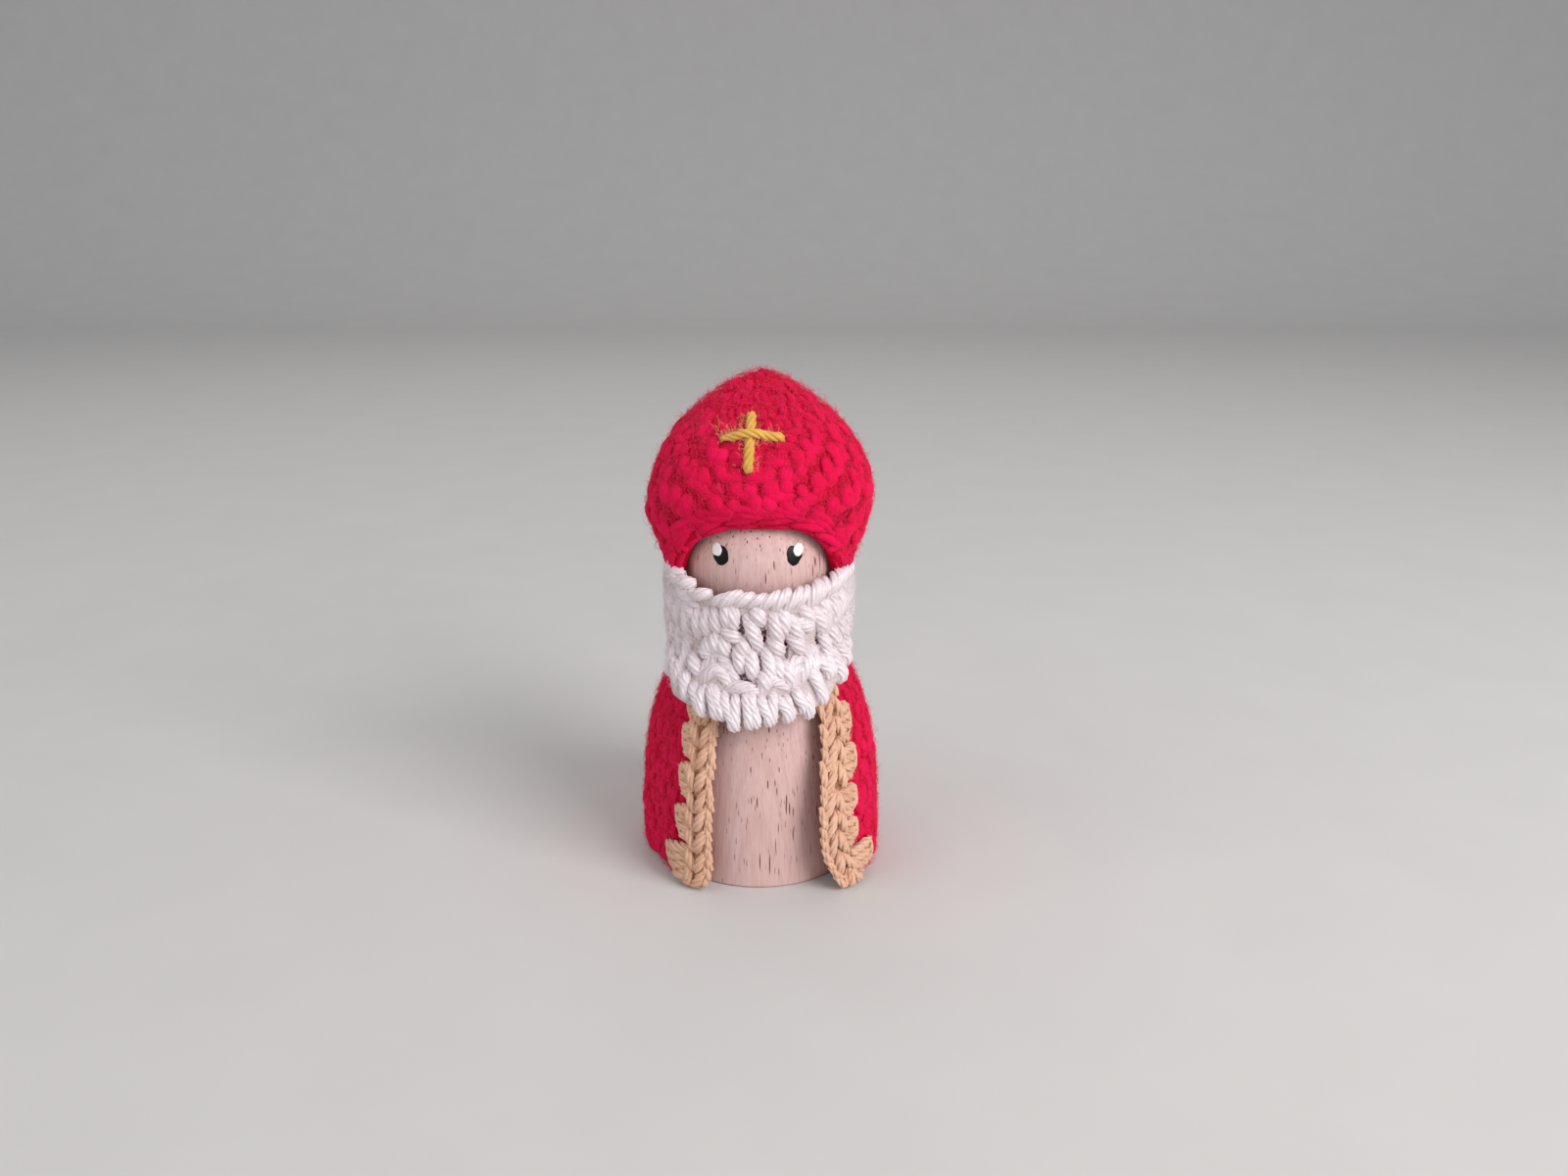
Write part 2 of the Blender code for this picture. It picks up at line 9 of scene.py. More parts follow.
import bpy
import numpy as np
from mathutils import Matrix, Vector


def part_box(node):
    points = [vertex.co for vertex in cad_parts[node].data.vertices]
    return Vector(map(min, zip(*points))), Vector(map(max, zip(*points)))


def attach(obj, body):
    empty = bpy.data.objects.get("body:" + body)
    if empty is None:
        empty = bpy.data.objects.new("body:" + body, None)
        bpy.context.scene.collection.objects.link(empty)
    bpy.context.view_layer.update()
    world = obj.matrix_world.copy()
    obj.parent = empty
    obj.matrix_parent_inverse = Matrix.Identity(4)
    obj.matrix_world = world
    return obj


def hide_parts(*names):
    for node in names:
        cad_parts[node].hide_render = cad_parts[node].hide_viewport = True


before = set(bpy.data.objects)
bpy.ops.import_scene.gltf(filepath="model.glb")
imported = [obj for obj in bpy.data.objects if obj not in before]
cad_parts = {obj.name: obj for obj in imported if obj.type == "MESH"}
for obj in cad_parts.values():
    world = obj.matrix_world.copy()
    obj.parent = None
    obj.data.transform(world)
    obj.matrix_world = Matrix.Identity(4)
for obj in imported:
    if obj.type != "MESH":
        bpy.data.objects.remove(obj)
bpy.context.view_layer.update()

MM = 0.001


def box_in_mm(node):
    """Lowest and highest corner of a CAD node, in millimetres."""
    low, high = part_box(node)
    return np.array(low) / MM, np.array(high) / MM


# Clearances and sizes as the CAD has them, but for the arch of the mitre's rim, which is a little rounder here.
# The cape's corner that stands back, and the slopes and feet of the trims, are this script's own
FIT = 0.3
BLEND = 0.8
SHOULDER_HEIGHT = 39.0
NECK_RADIUS = 9.0
HEAD_RADIUS = 12.5
BODY_FULLNESS = 2.6
SHOULDER_ROUNDNESS = 0.8
BASE_RADIUS = box_in_mm("peg_body")[1][0]
HEAD_CENTRE = box_in_mm("peg_body")[1][2] - HEAD_RADIUS

EYE_TURN = math.radians(27.9)
EYE_LIFT = math.radians(14.36)
PUPIL_SIZE = (2.5, 3.1)
GLINT_SIZE = (1.6, 2.0)
GLINT_SHIFT = (0.65, 0.8)

CAPE_WALL = 2.0
CAPE_HEM = box_in_mm("cape")[0][2]
CAPE_TOP = SHOULDER_HEIGHT + 0.5
HEM_EASE = 2.0
NECKLINE_EASE = 1.0
CAPE_SLOPE = 3.4
FRONT_TUCK = 2.2
TUCK_FULL = math.radians(62)
TUCK_END = math.radians(90)
RIGHT_TUCK_START = 12.0
RIGHT_TUCK_FULL = 28.0
RIGHT_FLARE = 0.6

CHAIN_RADIUS = 1.0

TRIM_WALL = 1.5
TRIM_OVERHANG = 2.4
LEFT_OPENING = math.radians(27)
RIGHT_OPENING = math.radians(33)
RIGHT_OPENING_TOP = math.radians(42)
RIGHT_BOW = (14.0, 30.0)

BEARD_WALL = 2.2
BEARD_EASE = 0.5
BEARD_DROP = 2.6
BEARD_EAR_RISE = 0.9
BEARD_HALF = math.radians(98)
BEARD_CORNERS = (math.radians(50), math.radians(38))
BEARD_HEM = 30.0
BEARD_CORNER_RISE = 1.6
BEARD_SIDE_CLIMB = 8.6
SIDE_CLIMB_ROUNDNESS = 1.8

MITRE_WALL = 2.6
MITRE_HALF_WIDTH = 18.5
MITRE_SIDE_HALF_WIDTH = 14.8
MITRE_BACK_DEPTH = 16.0
FRONT_BULGE = 1.2
FRONT_BULGE_RISE = 4.0
MITRE_WIDEST = 9.5
PEAK_RISE = box_in_mm("mitre")[1][2] - HEAD_CENTRE
PEAK_BACK = 1.5
PEAK_RIGHT = 0.5
RIM_FRONT = 8.1
RIM_SIDE = -1.1
RIM_BACK = -7.5
RIM_ARCH = math.radians(64)
RIM_ARCH_ROUNDNESS = (3.0, 0.85)
RIM_DIP = (math.radians(80), math.radians(170))
WIDTH_ROUNDNESS = 0.75
DEPTH_ROUNDNESS = 0.9
RIM_DRAW = 1.5

# How far the cape's lower right front corner stands back, and up to what height
CORNER_BACK = 1.8
CORNER_HEIGHT = 8.0

# Least heights above the floor of the crochet and fuzz, of the trims' strands, and of the strip behind them
YARN_FLOOR = 0.8
TRIM_YARN_FLOOR = 1.1
TRIM_STRIP_FLOOR = 0.7

# Stitches, and each tooth of the trims as the height of its flat edge, of its other end, and its reach.
# By side, FAN_SLOPE is the bow of a tooth's strands at either end, and FAN_TILT how far its tip is raised.
# A foot is how far the trim leans out at the floor, and up to what height
COLUMN_WIDTH = 3.5
V_PITCH = 3.65
LEFT_FANS = ((33.8, 30.0, 5.4), (29.4, 23.6, 5.7), (22.7, 16.6, 5.7), (15.4, 8.8, 6.3), (8.4, 1.2, 8.9))
RIGHT_FANS = ((24.5, 30.8, 6.2), (18.7, 24.0, 6.9), (12.8, 18.0, 6.6), (7.3, 12.2, 6.5), (1.0, 6.9, 10.8))
FAN_SLOPE = {-1: (0.1, 0.0), 1: (0.9, -0.35)}
FAN_TILT = {-1: -1.5, 1: 0.2}
FAN_TILT_FROM = 2.2
FAN_TILT_RUN = 6.5
FAN_STRANDS = 4
OUTLINE_START = 0.26
LEFT_FOOT = (1.2, 4.0)
RIGHT_FOOT = (3.8, 9.0)
MITRE_STITCHES = 20
MITRE_ROUNDS = 11
CAPE_STITCHES = 22
CAPE_ROWS = 13
RIM_STITCH = 5.2
NECK_STITCHES = 17

# Hairs of each layer of fuzz, and how far a strand's pattern may be shifted along it
MITRE_HAIRS = {"fuzz": 7500, "down": 6500, "halo": 3000}
CAPE_HAIRS = {"fuzz": 6500, "down": 6500, "halo": 2000}
TRIM_HAIRS = 900
BEARD_HAIRS = 3200
MAP_SHIFT = 40.0


# Small sums on whole arrays

def fade(value, start, end):
    """0 up to start, 1 from end on, and a smooth step between them."""
    share = np.clip((value - start) / (end - start), 0.0, 1.0)
    return share * share * (3 - 2 * share)


def mix(first, second, share):
    """A value part of the way from first to second."""
    return first + (second - first) * share


def larger(first, second):
    """The larger of two radii, rounded off where they come within BLEND of each other."""
    near = np.maximum(BLEND - np.abs(first - second), 0.0) / BLEND
    return np.maximum(first, second) + near * near * BLEND / 4


def unit(vectors):
    """The same directions at length 1."""
    return vectors / np.maximum(np.linalg.norm(vectors, axis=-1, keepdims=True), 1e-9)


def wrapped(angle, radius, z):
    """The point at this angle from the face, this far from the figure's axis."""
    angle, radius, z = np.broadcast_arrays(angle, radius, z)
    return np.stack([radius * np.sin(angle), -radius * np.cos(angle), z], axis=-1)


def half_turn(angle):
    """The same angle between minus and plus half a turn."""
    return (angle + math.pi) % (2 * math.pi) - math.pi


def run_along(points):
    """How far along its line each point is. Lines go along the last axis but one."""
    steps = np.linalg.norm(np.diff(points, axis=-2), axis=-1)
    return np.concatenate([np.zeros_like(steps[..., :1]), np.cumsum(steps, axis=-1)], axis=-1)


def cell_corners(grids):
    """The four corners of each cell of a stack of grids. Rows and columns are the second and third axis."""
    corners = [grids[:, :-1, :-1], grids[:, :-1, 1:], grids[:, 1:, 1:], grids[:, 1:, :-1]]
    return np.stack(corners, axis=3)


def closed_up(index):
    """Numbers of the points of rings, with each ring's first repeated at its end."""
    return np.concatenate([index, index[..., :1]], axis=-1)


# Surfaces of the pieces, as the CAD has them, apart from the arch of the mitre's rim

def peg_radius(z):
    """Radius of the turned body at a height."""
    share = np.clip(z / SHOULDER_HEIGHT, 0.0, 1.0)
    return mix(NECK_RADIUS, BASE_RADIUS, (1 - share ** BODY_FULLNESS) ** SHOULDER_ROUNDNESS)


def head_radius(rise):
    """Radius of the round head this far above or below its centre."""
    return np.sqrt(np.maximum(HEAD_RADIUS ** 2 - rise ** 2, 0.0))


def outside(radius, angle, z, distance):
    """Radius of a layer that clears a wrapped surface by this distance in every direction."""
    drops = distance * np.sin(np.linspace(-math.pi / 2, math.pi / 2, 25))
    reach = [radius(angle, z + drop) + math.sqrt(max(distance ** 2 - drop ** 2, 0.0)) for drop in drops]
    return np.max(reach, axis=0)


def cape_inner(angle, z):
    """Inner radius of the cape, with its front edges drawn in as far as they are on the real one."""
    angle = half_turn(angle)
    front = 1 - fade(np.abs(angle), TUCK_FULL, TUCK_END)
    flare = RIGHT_FLARE * (1 - fade(z, CAPE_HEM, RIGHT_TUCK_START))
    right = FRONT_TUCK * fade(z, RIGHT_TUCK_START, RIGHT_TUCK_FULL) - flare
    tuck = np.where(angle < 0, FRONT_TUCK, right) * front
    slope = np.maximum(z / CAPE_TOP, 0.0) ** CAPE_SLOPE
    free = mix(BASE_RADIUS + HEM_EASE, NECK_RADIUS + NECKLINE_EASE, slope)
    return larger(free - tuck, peg_radius(z) + FIT)


def cape(angle, z):
    """The cape's outer surface."""
    return wrapped(angle, cape_inner(angle, z) + CAPE_WALL, z)


def front_opening(side, z):
    """Angle of a trim's inner edge. The right one stands back further above than below."""
    if side < 0:
        return LEFT_OPENING + 0 * z
    return mix(RIGHT_OPENING, RIGHT_OPENING_TOP, fade(z, *RIGHT_BOW))


def trim_inner(angle, z):
    """Inner radius of a trim, which lies on the cape."""
    return outside(cape_inner, angle, z, CAPE_WALL + FIT)


def trim_on(side):
    """A trim's outer surface on one side, by millimetres across from its inner edge and height."""

    def trim(across, z):
        edge = side * front_opening(side, z)
        angle = edge + across / trim_inner(edge, z)
        return wrapped(angle, trim_inner(angle, z) + TRIM_WALL, z)

    return trim


def beard_inner(angle, z):
    """Inner radius of the beard: straight down from the cheeks, then out over the cape and its trims."""
    cheeks = head_radius(BEARD_DROP - BEARD_EAR_RISE) + FIT
    over_trims = outside(cape_inner, -TUCK_FULL, z, CAPE_WALL + FIT + TRIM_WALL + BEARD_EASE)
    over_cape = outside(cape_inner, angle, z, CAPE_WALL + BEARD_EASE)
    return larger(cheeks, np.maximum(over_trims, over_cape))


def beard(angle, z):
    """The beard's outer surface."""
    return wrapped(angle, beard_inner(angle, z) + BEARD_WALL, z)


def past_corner(angle):
    """0 over the beard's lower edge, growing to 1 from either lower corner to the ear."""
    corner = np.where(angle < 0, *BEARD_CORNERS)
    return np.clip((np.abs(angle) - corner) / (BEARD_HALF - corner), 0.0, 1.0)


def beard_hem(angle):
    """Height of the beard's lower edge: it rises a little to each corner and climbs from there to the ears."""
    corner = np.where(angle < 0, *BEARD_CORNERS)
    rise = BEARD_CORNER_RISE * np.minimum(np.abs(angle) / corner, 1.0) ** 2
    return BEARD_HEM + rise + BEARD_SIDE_CLIMB * (1 - (1 - past_corner(angle)) ** SIDE_CLIMB_ROUNDNESS)


def mitre_rim(angle):
    """Rise of the mitre's rim: a round arch over the face, level at the ears and lowest behind."""
    turn = np.abs(half_turn(angle))
    out = np.minimum(turn / RIM_ARCH, 1.0) ** RIM_ARCH_ROUNDNESS[0]
    arch = (RIM_FRONT - RIM_SIDE) * (1 - (1 - out) ** RIM_ARCH_ROUNDNESS[1])
    return RIM_FRONT - arch - (RIM_SIDE - RIM_BACK) * fade(turn, *RIM_DIP)


def beard_top(angle):
    """Height of the beard's upper edge, under the face and under the rim of the mitre."""
    across_face = HEAD_CENTRE - BEARD_DROP + BEARD_EAR_RISE * np.sin(angle) ** 2
    return np.minimum(across_face, HEAD_CENTRE + mitre_rim(angle) - FIT)


def mitre_level(angle, rise):
    """A point on the mitre's outer surface: an oval plan that swells, rounds in to the peak and leans back."""
    share = np.clip((rise - MITRE_WIDEST) / (PEAK_RISE - MITRE_WIDEST), 0.0, 1.0)
    drawn = np.maximum(MITRE_WIDEST - rise, 0.0) / (MITRE_WIDEST - RIM_SIDE)
    narrower = (MITRE_HALF_WIDTH - MITRE_SIDE_HALF_WIDTH) * drawn ** RIM_DRAW
    width = MITRE_HALF_WIDTH * (1 - share ** 2) ** WIDTH_ROUNDNESS - narrower
    bulge = FRONT_BULGE * fade(rise, RIM_FRONT, RIM_FRONT + FRONT_BULGE_RISE)
    front = head_radius(RIM_FRONT) + FIT + MITRE_WALL + bulge
    depth = np.where(np.cos(angle) < 0, MITRE_BACK_DEPTH, front) * (1 - share ** 2) ** DEPTH_ROUNDNESS
    oval = 1 / np.hypot(np.sin(angle) / np.maximum(width, 1e-6), np.cos(angle) / np.maximum(depth, 1e-6))
    over_head = head_radius(np.maximum(rise, 0.0)) + FIT + MITRE_WALL
    radius = np.where(rise > HEAD_RADIUS, oval, larger(oval, over_head))
    point = wrapped(angle, radius, HEAD_CENTRE + rise)
    point[..., 0] += PEAK_RIGHT * fade(rise, RIM_FRONT, HEAD_RADIUS)
    point[..., 1] += PEAK_BACK * fade(rise, MITRE_WIDEST, PEAK_RISE)
    return point


# The mitre is worked in rounds from its peak, so its surface is measured from there
MITRE_ANGLES = np.linspace(-math.pi, math.pi, 361)
MITRE_RISES = PEAK_RISE - (PEAK_RISE - RIM_BACK + 6.0) * np.linspace(0.0, 1.0, 400) ** 1.6
DOWN_STEP = 0.25
DOWN_COUNT = 240


def measure_mitre():
    """The rise at each step down the surface from the peak, for each angle, and how far down the rim is."""
    runs = run_along(mitre_level(MITRE_ANGLES[:, None], MITRE_RISES[None, :]))
    downs = np.arange(DOWN_COUNT) * DOWN_STEP
    rises = np.stack([np.interp(downs, run, MITRE_RISES) for run in runs])
    rims = mitre_rim(MITRE_ANGLES)
    rim_downs = np.array([np.interp(-rim, -MITRE_RISES, run) for rim, run in zip(rims, runs)])
    return rises, rim_downs


mitre_rises, mitre_rim_downs = measure_mitre()


def mitre(angle, up):
    """The mitre's outer surface at an angle and a height up its own surface, where 0 is the peak."""
    angle, up = np.broadcast_arrays(half_turn(np.asarray(angle, float)), up)
    column = (angle + math.pi) / (2 * math.pi) * (len(MITRE_ANGLES) - 1)
    row = np.clip(-up / DOWN_STEP, 0.0, DOWN_COUNT - 1.001)
    left = np.minimum(column.astype(int), len(MITRE_ANGLES) - 2)
    above = row.astype(int)
    across = column - left
    down = row - above
    upper = mix(mitre_rises[left, above], mitre_rises[left + 1, above], across)
    lower = mix(mitre_rises[left, above + 1], mitre_rises[left + 1, above + 1], across)
    return mitre_level(angle, mix(upper, lower, down))


def rim_up(angle):
    """Height of the rim on the mitre's own surface."""
    return -np.interp(half_turn(angle), MITRE_ANGLES, mitre_rim_downs)


def lifted(surface, first, second, lift):
    """A surface's points moved along its unit normal, which is the cross product of small steps either way."""
    step_a = 0.004
    step_b = 0.05
    along_a = surface(first + step_a, second) - surface(first - step_a, second)
    along_b = surface(first, second + step_b) - surface(first, second - step_b)
    normal = unit(np.cross(along_a, along_b))
    return surface(first, second) + normal * np.asarray(lift)[..., None], normal


def reach_of(surface, first, second):
    """Millimetres on a surface for each unit of its first parameter."""
    step = 0.01
    return np.linalg.norm(surface(first + step, second) - surface(first - step, second), axis=-1) / (2 * step)


# Meshes

def put_mesh(name, points, faces, run, shade, material, body, replaced=()):
    """A piece from points in millimetres, faces, a map along and round its yarn, and each point's shade."""
    mesh = bpy.data.meshes.new(name)
    corners = np.concatenate([group.reshape(-1) for group in faces]).astype(np.int32)
    sizes = np.concatenate([np.full(len(group), group.shape[1]) for group in faces]).astype(np.int32)
    mesh.vertices.add(len(points))
    mesh.vertices.foreach_set("co", (np.asarray(points) * MM).astype(np.float32).ravel())
    mesh.loops.add(len(corners))
    mesh.loops.foreach_set("vertex_index", corners)
    mesh.polygons.add(len(sizes))
    mesh.polygons.foreach_set("loop_start", (np.cumsum(sizes) - sizes).astype(np.int32))
    mesh.polygons.foreach_set("use_smooth", np.ones(len(sizes), bool))
    mesh.update(calc_edges=True)
    if run is not None:
        layer = mesh.uv_layers.new(name="run")
        layer.uv.foreach_set("vector", run.astype(np.float32).ravel())
    if shade is not None:
        tint = mesh.attributes.new("shade", "FLOAT", "POINT")
        tint.data.foreach_set("value", np.asarray(shade, np.float32))
    mesh.materials.append(material)
    piece = bpy.data.objects.new(name, mesh)
    bpy.context.scene.collection.objects.link(piece)
    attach(piece, body)
    if replaced:
        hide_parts(*replaced)
    return piece


def ply_outline(plies, around):
    """Outline of plies laid round each other: for each angle, how far out the nearest ply's circle reaches."""
    half = math.pi / plies
    phase = (around + half) % (2 * half) - half
    centre = 1 / (1 + math.sin(half))
    inside = np.maximum((centre * math.sin(half)) ** 2 - (centre * np.sin(phase)) ** 2, 0.0)
    return centre * np.cos(phase) + np.sqrt(inside)


def carry(paths, outs, radii, sides, plies=0, lay=12.0, depth=1.0, squeeze=1.0, seed=0):
    """A yarn's profile carried along many paths at once.

    Each ring's points are its centre plus radius times outline times (cos across + sin outwards), and each
    ring is turned a little from the last, by a full turn in every lay millimetres, so the plies wind round.
    """
    strands, rings, _ = paths.shape
    random = np.random.default_rng(seed)
    tangents = unit(np.gradient(paths, axis=1))
    lifts = np.empty_like(paths)
    current = outs[:, 0]
    for ring in range(rings):
        tangent = tangents[:, ring]
        current = unit(current - tangent * np.sum(current * tangent, axis=-1, keepdims=True))
        lifts[:, ring] = current
    across = np.cross(lifts, tangents)
    run = run_along(paths)
    around = 2 * math.pi * np.arange(sides) / sides
    outline = mix(1.0, ply_outline(plies, around), depth) if plies else np.ones(sides)
    wound = 2 * math.pi * run / lay if plies else 0 * run
    turn = around + (wound + random.uniform(0, 2 * math.pi, (strands, 1)))[:, :, None]
    reach = (radii[:, :, None] * outline)[..., None]
    ring_points = reach * (np.cos(turn)[..., None] * across[:, :, None, :]
                           + squeeze * np.sin(turn)[..., None] * lifts[:, :, None, :])
    points = (paths[:, :, None, :] + ring_points).reshape(-1, 3)
    index = np.arange(strands * rings * sides).reshape(strands, rings, sides)
    quads = cell_corners(closed_up(index)).reshape(-1, 4)
    girth = 2 * math.pi * float(np.mean(radii)) / sides
    start = (run + random.uniform(0, MAP_SHIFT, (strands, 1)))[:, :, None]
    places = np.stack(np.broadcast_arrays(start, np.arange(sides + 1) * girth), axis=-1)
    quad_run = cell_corners(places).reshape(-1, 2)
    caps = np.concatenate([index[:, 0, ::-1], index[:, -1]])
    shades = np.repeat(random.uniform(0, 1, strands), rings * sides)
    return points, [quads, caps], [quad_run, np.zeros((caps.size, 2))], shades


def put_strands(name, bundles, material, body, replaced=()):
    """One piece from several bundles of strands."""
    points, faces, runs, shades = zip(*bundles)
    starts = np.cumsum([0] + [len(group) for group in points])
    faces = [group + start for start, groups in zip(starts, faces) for group in groups]
    runs = [run for groups in runs for run in groups]
    return put_mesh(name, np.concatenate(points), faces, np.concatenate(runs), np.concatenate(shades),
                    material, body, replaced)


def put_rings(name, rings, first_pole, last_pole, material, body, slot, replaced=()):
    """A closed piece from rings of points one after another, closed by a point at each end."""
    count, columns, _ = rings.shape
    points = np.concatenate([[first_pole], rings.reshape(-1, 3), [last_pole]])
    index = closed_up(1 + np.arange(count * columns).reshape(count, columns))
    quads = cell_corners(index[None]).reshape(-1, 4)[:, [0, 3, 2, 1]]
    first = np.stack([np.zeros(columns, int), index[0, :-1], index[0, 1:]], axis=-1)
    last = np.stack([np.full(columns, len(points) - 1), index[-1, 1:], index[-1, :-1]], axis=-1)
    return put_mesh(name, points, [quads, first, last], None, None, material, body, replaced)


# Materials

def srgb(red, green, blue):
    """A colour written in 0 to 255 display values, as the linear values that a shader takes."""
    shares = np.array([red, green, blue]) / 255
    linear = np.where(shares <= 0.04045, shares / 12.92, ((shares + 0.055) / 1.055) ** 2.4)
    return (*linear, 1.0)


def new_material(name, **uniform):
    """A Principled material. Values that are the same all over are set on the shader's own sockets."""
    material = bpy.data.materials.new(name)
    material.use_nodes = True
    tree = material.node_tree
    shader = tree.nodes["Principled BSDF"]
    for socket, value in uniform.items():
        shader.inputs[socket.replace("_", " ")].default_value = value
    return material, tree, shader


def feed(tree, socket, value):
    """Set a shader's input to a value or a colour, or link it to another node's output."""
    if isinstance(value, bpy.types.NodeSocket):
        tree.links.new(value, socket)
    else:
        socket.default_value = value


def node(tree, kind, inputs, output, **settings):
    """The output of a new node with these settings and inputs, by name, or by number where names repeat."""
    step = tree.nodes.new("ShaderNode" + kind)
    for name, value in settings.items():
        setattr(step, name, value)
    for name, value in inputs.items():
        feed(tree, step.inputs[name], value)
    return step.outputs[output]


def pattern_space(tree, scale, on_piece=False):
    """Where a pattern is read: Object coordinates, or the piece's own map along and round its yarn."""
    if on_piece:
        source = node(tree, "UVMap", {}, "UV", uv_map="run")
    else:
        source = node(tree, "TexCoord", {}, "Object")
    return node(tree, "Mapping", {"Scale": scale, "Vector": source}, "Vector")


def noise(tree, space, scale, detail=3.0, roughness=0.55, distortion=0.0):
    """A cloudy pattern from 0 to 1."""
    inputs = {"Scale": scale, "Detail": detail, "Roughness": roughness, "Distortion": distortion,
              "Vector": space}
    return node(tree, "TexNoise", inputs, "Fac")


def remap(tree, value, low, high, to_low=0.0, to_high=1.0):
    """A value from low to high, made one from to_low to to_high and held there."""
    inputs = {"From Min": low, "From Max": high, "To Min": to_low, "To Max": to_high, "Value": value}
    return node(tree, "MapRange", inputs, "Result")


def sum_of(tree, operation, first, second=0.0):
    """Two values added, subtracted, multiplied or compared, or the sine of the first."""
    return node(tree, "Math", {0: first, 1: second}, "Value", operation=operation)


def colours(tree, share, first, second):
    """A colour between two others. Each is a colour or another pattern's output."""
    return node(tree, "Mix", {"Factor": share, 6: first, 7: second}, 2, data_type="RGBA")


def dress(tree, shader, colour, height, relief):
    """Give a shader its colour, and raise its surface by a pattern whose full height is relief, in metres."""
    bump = node(tree, "Bump", {"Strength": 1.0, "Distance": relief, "Height": height}, "Normal")
    feed(tree, shader.inputs["Base Color"], colour)
    feed(tree, shader.inputs["Normal"], bump)


def yarn_material(name, light, dark, fibre, patch, relief, **uniform):
    """Yarn: fine fibres run along each strand, shades change from strand to strand and in soft patches."""
    material, tree, shader = new_material(name, **uniform)
    fibres = noise(tree, pattern_space(tree, fibre, on_piece=True), 1.0, 4.0, 0.65)
    patches = noise(tree, pattern_space(tree, (1.0, 1.0, 1.0)), patch)
    strand = node(tree, "Attribute", {}, "Fac", attribute_name="shade")
    share = sum_of(tree, "MULTIPLY", remap(tree, fibres, 0.3, 0.7), 0.5)
    share = sum_of(tree, "ADD", share, sum_of(tree, "MULTIPLY", remap(tree, patches, 0.3, 0.7), 0.3))
    share = sum_of(tree, "ADD", share, sum_of(tree, "MULTIPLY", strand, 0.2))
    dress(tree, shader, colours(tree, share, dark, light), fibres, relief)
    return material


def felt_material(name, light, dark, relief, **uniform):
    """The ground behind the stitches: the same yarn, matted, on Object coordinates. Its darker colours are
    painted shade.
    """
    material, tree, shader = new_material(name, **uniform)
    fine = noise(tree, pattern_space(tree, (1.0, 1.0, 1.0)), 1800.0, 4.0, 0.7, 1.5)
    dress(tree, shader, colours(tree, remap(tree, fine, 0.3, 0.7), dark, light), fine, relief)
    return material


def beech_flecks(tree, scale, size, spread, sparse):
    """Dark flecks: the middles of stretched cells, kept only where a cloudy pattern is high."""
    cells = node(tree, "TexVoronoi", {"Scale": 1.0, "Vector": pattern_space(tree, scale)}, "Distance")
    flecks = remap(tree, cells, size, size * 1.6, 1.0, 0.0)
    cloudy = noise(tree, pattern_space(tree, spread), 1.0, 2.0)
    return sum_of(tree, "MULTIPLY", flecks, remap(tree, cloudy, *sparse))


def growth_arches(tree):
    """Growth rings cut by the turning: arches where height plus curve times x squared repeats."""
    in_mm = pattern_space(tree, (1 / MM, 1 / MM, 1 / MM))
    x, z = (node(tree, "SeparateXYZ", {"Vector": in_mm}, axis) for axis in ("X", "Z"))
    wander = noise(tree, pattern_space(tree, (90.0, 90.0, 40.0)), 1.0, 2.0)
    level = sum_of(tree, "ADD", z, sum_of(tree, "MULTIPLY", sum_of(tree, "MULTIPLY", x, x), 0.8))
    level = sum_of(tree, "ADD", level, sum_of(tree, "MULTIPLY", wander, 9.0))
    wave = sum_of(tree, "SINE", sum_of(tree, "MULTIPLY", level, 2 * math.pi / 13.0))
    return remap(tree, wave, 0.2, 1.0)


def beech_material():
    """Beech: a pinkish ground, faint growth rings, fine upright grain and short dark flecks of its rays."""
    material, tree, shader = new_material("beech_wood", Roughness=0.62, Specular_IOR_Level=0.35)
    grain = noise(tree, pattern_space(tree, (2600.0, 2600.0, 160.0)), 1.0, 4.0, 0.6)
    clouds = noise(tree, pattern_space(tree, (150.0, 150.0, 45.0)), 1.0, 3.0, 0.5, 0.6)
    ground = colours(tree, remap(tree, grain, 0.3, 0.7), srgb(207, 170, 166), srgb(225, 192, 188))
    ground = colours(tree, remap(tree, clouds, 0.35, 0.7, 0.0, 0.45), ground, srgb(212, 170, 158))
    arches = growth_arches(tree)
    ground = colours(tree, sum_of(tree, "MULTIPLY", arches, 0.24), ground, srgb(190, 148, 140))
    rays = beech_flecks(tree, (1700.0, 1700.0, 260.0), 0.13, (260.0, 260.0, 120.0), (0.42, 0.5))
    streaks = beech_flecks(tree, (1800.0, 1800.0, 98.0), 0.145, (230.0, 230.0, 60.0), (0.47, 0.52))
    flecks = sum_of(tree, "MAXIMUM", sum_of(tree, "MULTIPLY", rays, 0.5), streaks)
    height = sum_of(tree, "SUBTRACT", sum_of(tree, "MULTIPLY", grain, 0.35), flecks)
    dress(tree, shader, colours(tree, flecks, ground, srgb(118, 62, 52)), height, 0.00008)
    return material


def paint_material(name, light, dark, roughness):
    """Craft paint put on by hand: slightly uneven, with faint brush marks."""
    material, tree, shader = new_material(name, Roughness=roughness, Specular_IOR_Level=0.18)
    marks = noise(tree, pattern_space(tree, (900.0, 900.0, 2200.0)), 1.0)
    dress(tree, shader, colours(tree, marks, dark, light), marks, 0.00004)
    return material


